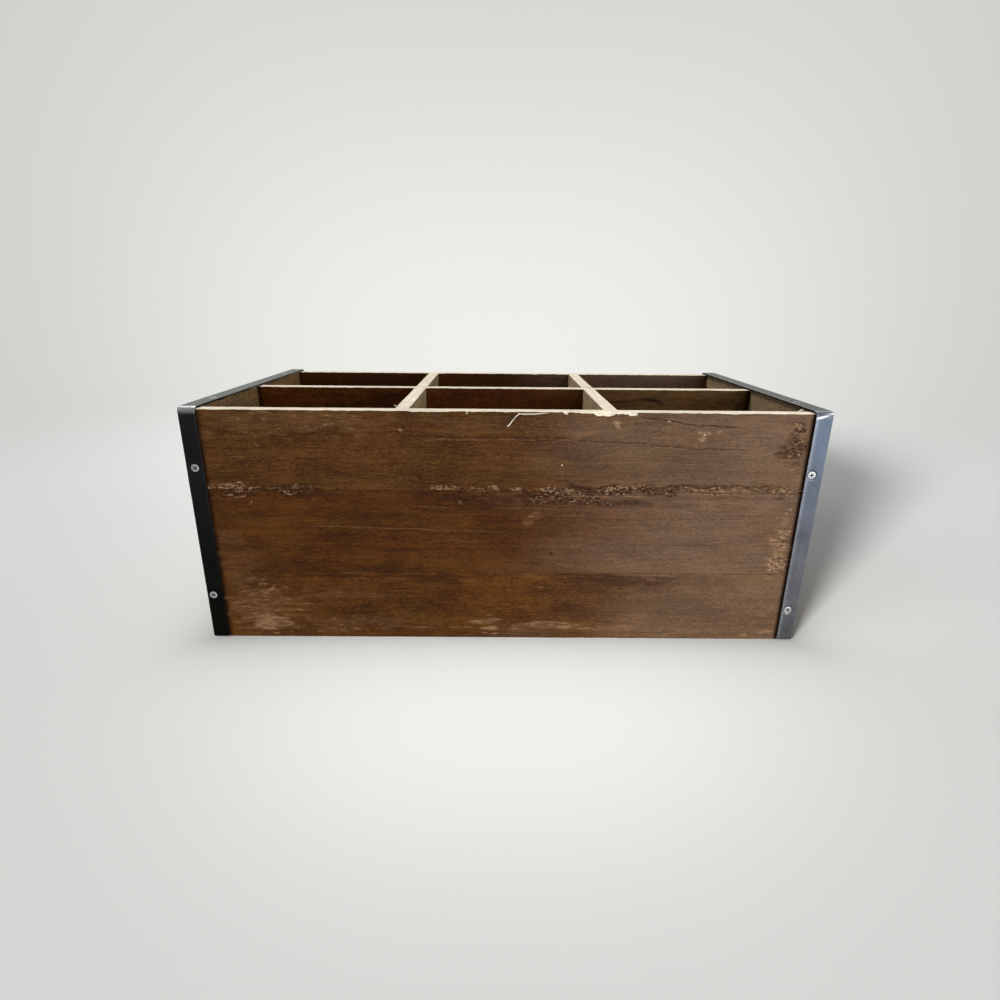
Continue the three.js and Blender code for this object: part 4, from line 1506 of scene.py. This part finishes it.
class ORGANIZER_OT_screws(bpy.types.Operator):
    """Twelve countersunk cross-head screws that hold the bands"""

    bl_idname = "organizer.screws"
    bl_label = "Screws"
    # How bright the dull zinc is beside the bright zinc: painted shade in the cross recess, and the colour of
    # the hidden shank.
    recess_shade = 0.16

    def execute(self, context):
        steel = context.scene.organizer_steel
        zinc = steel.zinc[:]
        dull = (*(self.recess_shade * c for c in zinc[:3]), 1.0)
        tones = {"Base": dull, "Rubbed": zinc, "Stain": steel.mill[:], "Level": zinc, "Foot": dull}
        material = steel_material("Zinc plate", tones, 0.8, ZINC_BUMP)
        rng = np.random.default_rng(5)
        for name in sorted(nodes_with("screw")):
            low, high = node_span(name)
            head = (low + high) / 2
            axis = int(np.argmax(high - low))
            outward = np.zeros(3)
            outward[axis] = math.copysign(1.0, head[axis])
            head[axis] = high[axis] if head[axis] > 0 else low[axis]
            points, quads, worn = screw_points(high[axis] - low[axis], rng.uniform(0.0, math.pi / 2))
            first = np.array([1.0, 0.0, 0.0])
            placed = head + points @ np.stack([first, np.cross(outward, first), outward])
            piece = make_mesh(name + "_zinc", placed, quads, {"worn": worn})
            attach(piece, material, "screw_zinc", name)
        return {"FINISHED"}


class ORGANIZER_OT_brads(bpy.types.Operator):
    """Steel for the brads"""

    bl_idname = "organizer.brads"
    bl_label = "Brads"

    def execute(self, context):
        steel = context.scene.organizer_steel
        bright = steel.brad[:]
        rest = {"Rubbed": steel.rubbed[:], "Stain": steel.mill[:]}
        tones = {"Base": bright, "Level": bright, "Foot": bright, **rest}
        material = steel_material("Brad steel", tones, 0.8)
        for name in nodes_with("brad"):
            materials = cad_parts[name].data.materials
            materials.clear()
            materials.append(material)
        return {"FINISHED"}


# The stage, in metres. Where the photo was taken from, and the camera's turn, tilt and roll in degrees.
CAMERA_PLACE = (-0.00647, -0.52613, 0.25136)
CAMERA_ANGLES = (0.358, 18.565, -0.535)
CAMERA_SENSOR = 36.0
LAMP_COLOUR = (1.0, 0.99, 0.97)
AIR_COLOUR = (0.96, 0.98, 1.0, 1.0)
SHOWN_AIR = (0.65, 0.65, 0.64, 1.0)
FLOOR_BOUNCE = (0.55, 0.55, 0.54, 1.0)
# The floor is lit up to the first distance from the middle, and glows evenly from the second one on.
FLOOR_LIT = (0.6, 1.4)
# How much darker the floor gets far from the box, as its painted pool of light falls off, how much darker a
# painted shadow makes it at the box's foot, and how fast that shadow ends.
FLOOR_DIM = -0.295
PAINTED_FOOT_SHADOW = -0.34
FOOT_FADE = -45.0
# The painted pool of light on the floor. Half its width abreast of the box's middle, how much it widens with
# each metre towards the back, and the depth in front of which it gets no narrower.
POOL_WIDTH = 0.232
POOL_WIDENS = 0.36
POOL_FRONT = -0.36
# The first two again, for the part behind the box.
BACK_WIDTH = 0.21
BACK_WIDENS = 0.5
# How far the pool reaches up the backdrop, the depth at which it starts to fade forwards, and how far
# it reaches from there.
POOL_HEIGHT = 1.1
POOL_START = -0.05
POOL_REACH = 0.24
# The backdrop: where the floor starts to curve up, the curve's radius, and the wall's two heights.
CURVE_START = 2.5
CURVE_RADIUS = 0.5
WALL_HEIGHTS = (1.5, 4.0)


def aim(thing, target):
    way = Vector(target) - thing.location
    thing.rotation_euler = way.to_track_quat("-Z", "Y").to_euler()


def only(thing, name, piece, state):
    """Makes a lamp light that piece alone, or everything but that piece."""
    group = bpy.data.collections.new(name)
    group.objects.link(piece)
    group.collection_objects[0].light_linking.link_state = state
    thing.light_linking.receiver_collection = group


def light(data, place, target):
    """Puts a light in its place, aimed at its target."""
    thing = bpy.data.objects.new(data.name, data)
    thing.location = place
    bpy.context.scene.collection.objects.link(thing)
    aim(thing, target)
    return thing


def lamp(name, place, target, power, width, height):
    """A soft rectangular lamp that the camera doesn't see."""
    data = bpy.data.lights.new(name, "AREA")
    data.shape = "RECTANGLE"
    data.size = width
    data.size_y = height
    data.energy = power
    data.color = LAMP_COLOUR
    thing = light(data, place, target)
    thing.visible_camera = False
    return thing


def floor_material(settings):
    """Pale floor with a painted pool of light and a painted shadow at the box's foot; it keeps the box's
    shadow near it and turns into an even backdrop further out.
    """
    material = bpy.data.materials.new("Pale floor")
    lay = emptied(material)
    here = lay.put("ShaderNodeNewGeometry").outputs["Position"]
    x, y, z = lay.apart(here)
    # Painted pool of light: the floor is palest around the box and dims away from it.
    near = lay.math("MULTIPLY_ADD", lay.larger(y, POOL_FRONT), POOL_WIDENS, POOL_WIDTH)
    wide = lay.larger(near, lay.math("MULTIPLY_ADD", y, BACK_WIDENS, BACK_WIDTH))
    aside = lay.math("POWER", lay.math("ABSOLUTE", lay.math("DIVIDE", x, wide)), 2.6)
    forwards = lay.larger(lay.math("MULTIPLY_ADD", y, -1.0, POOL_START), 0.0)
    ahead = lay.math("POWER", lay.math("DIVIDE", forwards, POOL_REACH), 5.0)
    above = lay.math("POWER", lay.math("DIVIDE", z, POOL_HEIGHT), 2.0)
    spread = lay.total(aside, ahead, above)
    dim = lay.minus(1.0, lay.math("EXPONENT", lay.times(spread, -0.5)))
    # Painted shadow at the foot of the box: darker the nearer the floor lies to it.
    past_end = lay.larger(lay.minus(lay.math("ABSOLUTE", x), CAD_BOX[1][0]), 0.0)
    past_side = lay.larger(lay.minus(lay.math("ABSOLUTE", y), CAD_BOX[1][1]), 0.0)
    clear = lay.length(lay.joined(past_end, past_side, z))
    foot_shadow = lay.math("EXPONENT", lay.times(clear, FOOT_FADE))
    tone = lay.total(1.0, lay.times(dim, FLOOR_DIM), lay.times(foot_shadow, PAINTED_FOOT_SHADOW))
    pale = lay.shade(settings.floor[:], tone)
    lit = lay.step(lay.length(here), *FLOOR_LIT, 1.0, 0.0)
    glow = lay.put("ShaderNodeEmission", {"Color": pale, "Strength": 1.0})
    shaded = lay.put("ShaderNodeBsdfDiffuse", {"Color": pale})
    seen = lay.put("ShaderNodeMixShader", {0: lit, 1: glow.outputs[0], 2: shaded.outputs[0]})
    dull = lay.put("ShaderNodeBsdfDiffuse", {"Color": FLOOR_BOUNCE})
    direct = lay.seen_directly()
    both = lay.put("ShaderNodeMixShader", {0: direct, 1: dull.outputs[0], 2: seen.outputs[0]})
    lay.end("ShaderNodeOutputMaterial", both)
    return material


def revolve(name, profile):
    """An open surface turned around Z from a line of (radius, height) in metres."""
    spokes = 96
    angles = spokes_around(spokes)
    points = np.concatenate([ring(radius, angles, height) for radius, height in profile]) / MM
    index, after = ring_index(len(profile), spokes)
    quads = np.stack([index[:-1], index[1:], after[1:], after[:-1]], axis=-1).reshape(-1, 4)
    return make_mesh(name, points, quads, {})


class ORGANIZER_OT_stage(bpy.types.Operator):
    """Pale floor and backdrop, three lamps for the box, three for the floor, even light and the camera"""

    bl_idname = "organizer.stage"
    bl_label = "Stage"

    def execute(self, context):
        stage = context.scene.organizer_stage
        material = floor_material(stage)
        floor = revolve("stage_floor", [(radius, 0.0) for radius in (0.001, 0.3, 0.8, 1.6, CURVE_START)])
        outer = CURVE_START + CURVE_RADIUS
        curve = [
            (CURVE_START + math.sin(turn) * CURVE_RADIUS, CURVE_RADIUS - math.cos(turn) * CURVE_RADIUS)
            for turn in np.linspace(0.0, math.pi / 2, 12)
        ]
        backdrop = revolve("stage_backdrop", curve + [(outer, height) for height in WALL_HEIGHTS])
        for piece in (floor, backdrop):
            piece.data.materials.append(material)
        backdrop.visible_diffuse = False
        backdrop.visible_shadow = False
        for name, place, target, power, width, height in (
            ("Top lamp", (-0.45, 0.35, 1.6), (0.0, 0.0, 0.1), stage.top_lamp, 0.5, 0.5),
            ("Side lamp", (0.8, -0.42, 1.05), (0.0, 0.0, 0.1), stage.side_lamp, 0.28, 0.28),
            ("Front lamp", (0.68, -0.9, 0.22), (0.05, -0.12, 0.1), stage.front_lamp, 0.5, 0.36),
        ):
            thing = lamp(name, place, target, power, width, height)
            only(thing, name + " skips the floor", floor, "EXCLUDE")
        overhead = lamp("Floor lamp", (-0.3, 0.5, 1.4), (0.0, 0.0, 0.0), stage.floor_lamp, 0.9, 0.9)
        only(overhead, "Floor lamp's floor", floor, "INCLUDE")
        self.floor_lights(stage, floor)
        self.air(context.scene, stage)
        self.camera(context.scene, stage)
        context.scene.view_settings.view_transform = "Standard"
        return {"FINISHED"}

    def floor_lights(self, stage, floor):
        """Two lights for the floor alone: a low one gives the long soft shadow, a higher one deepens it."""
        for name, energy, angle, place in (
            ("Floor light", stage.floor_light, stage.shadow_softness, (-0.648, -0.762, 0.24)),
            ("Left light", stage.left_light, stage.left_softness, (-0.866, -0.5, 0.6)),
        ):
            data = bpy.data.lights.new(name, "SUN")
            data.energy = energy
            data.angle = angle
            only(light(data, place, (0.0, 0.0, 0.0)), name + "'s floor", floor, "INCLUDE")

    def air(self, scene, stage):
        """Even light from all round, which shows in grey where a ray passes the backdrop."""
        world = bpy.data.worlds.new("Even light")
        lay = emptied(world)
        even = lay.put("ShaderNodeBackground", {"Color": AIR_COLOUR, "Strength": stage.air})
        shown = lay.put("ShaderNodeBackground", {"Color": SHOWN_AIR, "Strength": 1.0})
        direct = lay.seen_directly()
        both = lay.put("ShaderNodeMixShader", {0: direct, 1: even.outputs[0], 2: shown.outputs[0]})
        lay.end("ShaderNodeOutputWorld", both)
        scene.world = world

    def camera(self, scene, stage):
        """The camera that took the photo."""
        yaw, pitch, roll = (math.radians(angle) for angle in CAMERA_ANGLES)
        ahead = Vector((math.sin(yaw) * math.cos(pitch), math.cos(yaw) * math.cos(pitch), -math.sin(pitch)))
        level = Vector((math.cos(yaw), -math.sin(yaw), 0.0))
        below = ahead.cross(level)
        right = level * math.cos(roll) + below * math.sin(roll)
        down = below * math.cos(roll) - level * math.sin(roll)
        data = bpy.data.cameras.new("Camera")
        data.lens = stage.lens
        data.sensor_width = CAMERA_SENSOR
        data.clip_start = 0.01
        thing = bpy.data.objects.new("Camera", data)
        turn = Matrix((right, -down, -ahead)).transposed().to_4x4()
        thing.matrix_world = Matrix.Translation(CAMERA_PLACE) @ turn
        scene.collection.objects.link(thing)
        scene.camera = thing


OPERATORS = (
    ORGANIZER_OT_stage,
    ORGANIZER_OT_front_panel,
    ORGANIZER_OT_back_panel,
    ORGANIZER_OT_end_panels,
    ORGANIZER_OT_bottom_board,
    ORGANIZER_OT_dividers,
    ORGANIZER_OT_splinters,
    ORGANIZER_OT_bands,
    ORGANIZER_OT_screws,
    ORGANIZER_OT_brads,
)


class ORGANIZER_PT_panel(bpy.types.Panel):
    """Lists the settings and the pieces of the organizer box"""

    bl_idname = "ORGANIZER_PT_panel"
    bl_label = "Organizer box"
    bl_space_type = "VIEW_3D"
    bl_region_type = "UI"
    bl_category = "Organizer box"

    def draw(self, context):
        scene = context.scene
        for settings in (scene.organizer_wood, scene.organizer_steel, scene.organizer_stage):
            box = self.layout.box()
            for name in settings.bl_rna.properties.keys():
                if name not in ("rna_type", "name"):
                    box.prop(settings, name)
        for operator in OPERATORS:
            self.layout.operator(operator.bl_idname)


CLASSES = (WoodSettings, SteelSettings, StageSettings, *OPERATORS, ORGANIZER_PT_panel)


def register():
    for item in CLASSES:
        bpy.utils.register_class(item)
    bpy.types.Scene.organizer_wood = PointerProperty(type=WoodSettings)
    bpy.types.Scene.organizer_steel = PointerProperty(type=SteelSettings)
    bpy.types.Scene.organizer_stage = PointerProperty(type=StageSettings)


def unregister():
    del bpy.types.Scene.organizer_stage
    del bpy.types.Scene.organizer_steel
    del bpy.types.Scene.organizer_wood
    for item in reversed(CLASSES):
        bpy.utils.unregister_class(item)


def main():
    register()
    bpy.ops.organizer.stage()
    bpy.ops.organizer.front_panel()
    bpy.ops.organizer.back_panel()
    bpy.ops.organizer.end_panels()
    bpy.ops.organizer.bottom_board()
    bpy.ops.organizer.dividers()
    bpy.ops.organizer.splinters()
    bpy.ops.organizer.bands()
    bpy.ops.organizer.screws()
    bpy.ops.organizer.brads()


if __name__ == "__main__":
    main()
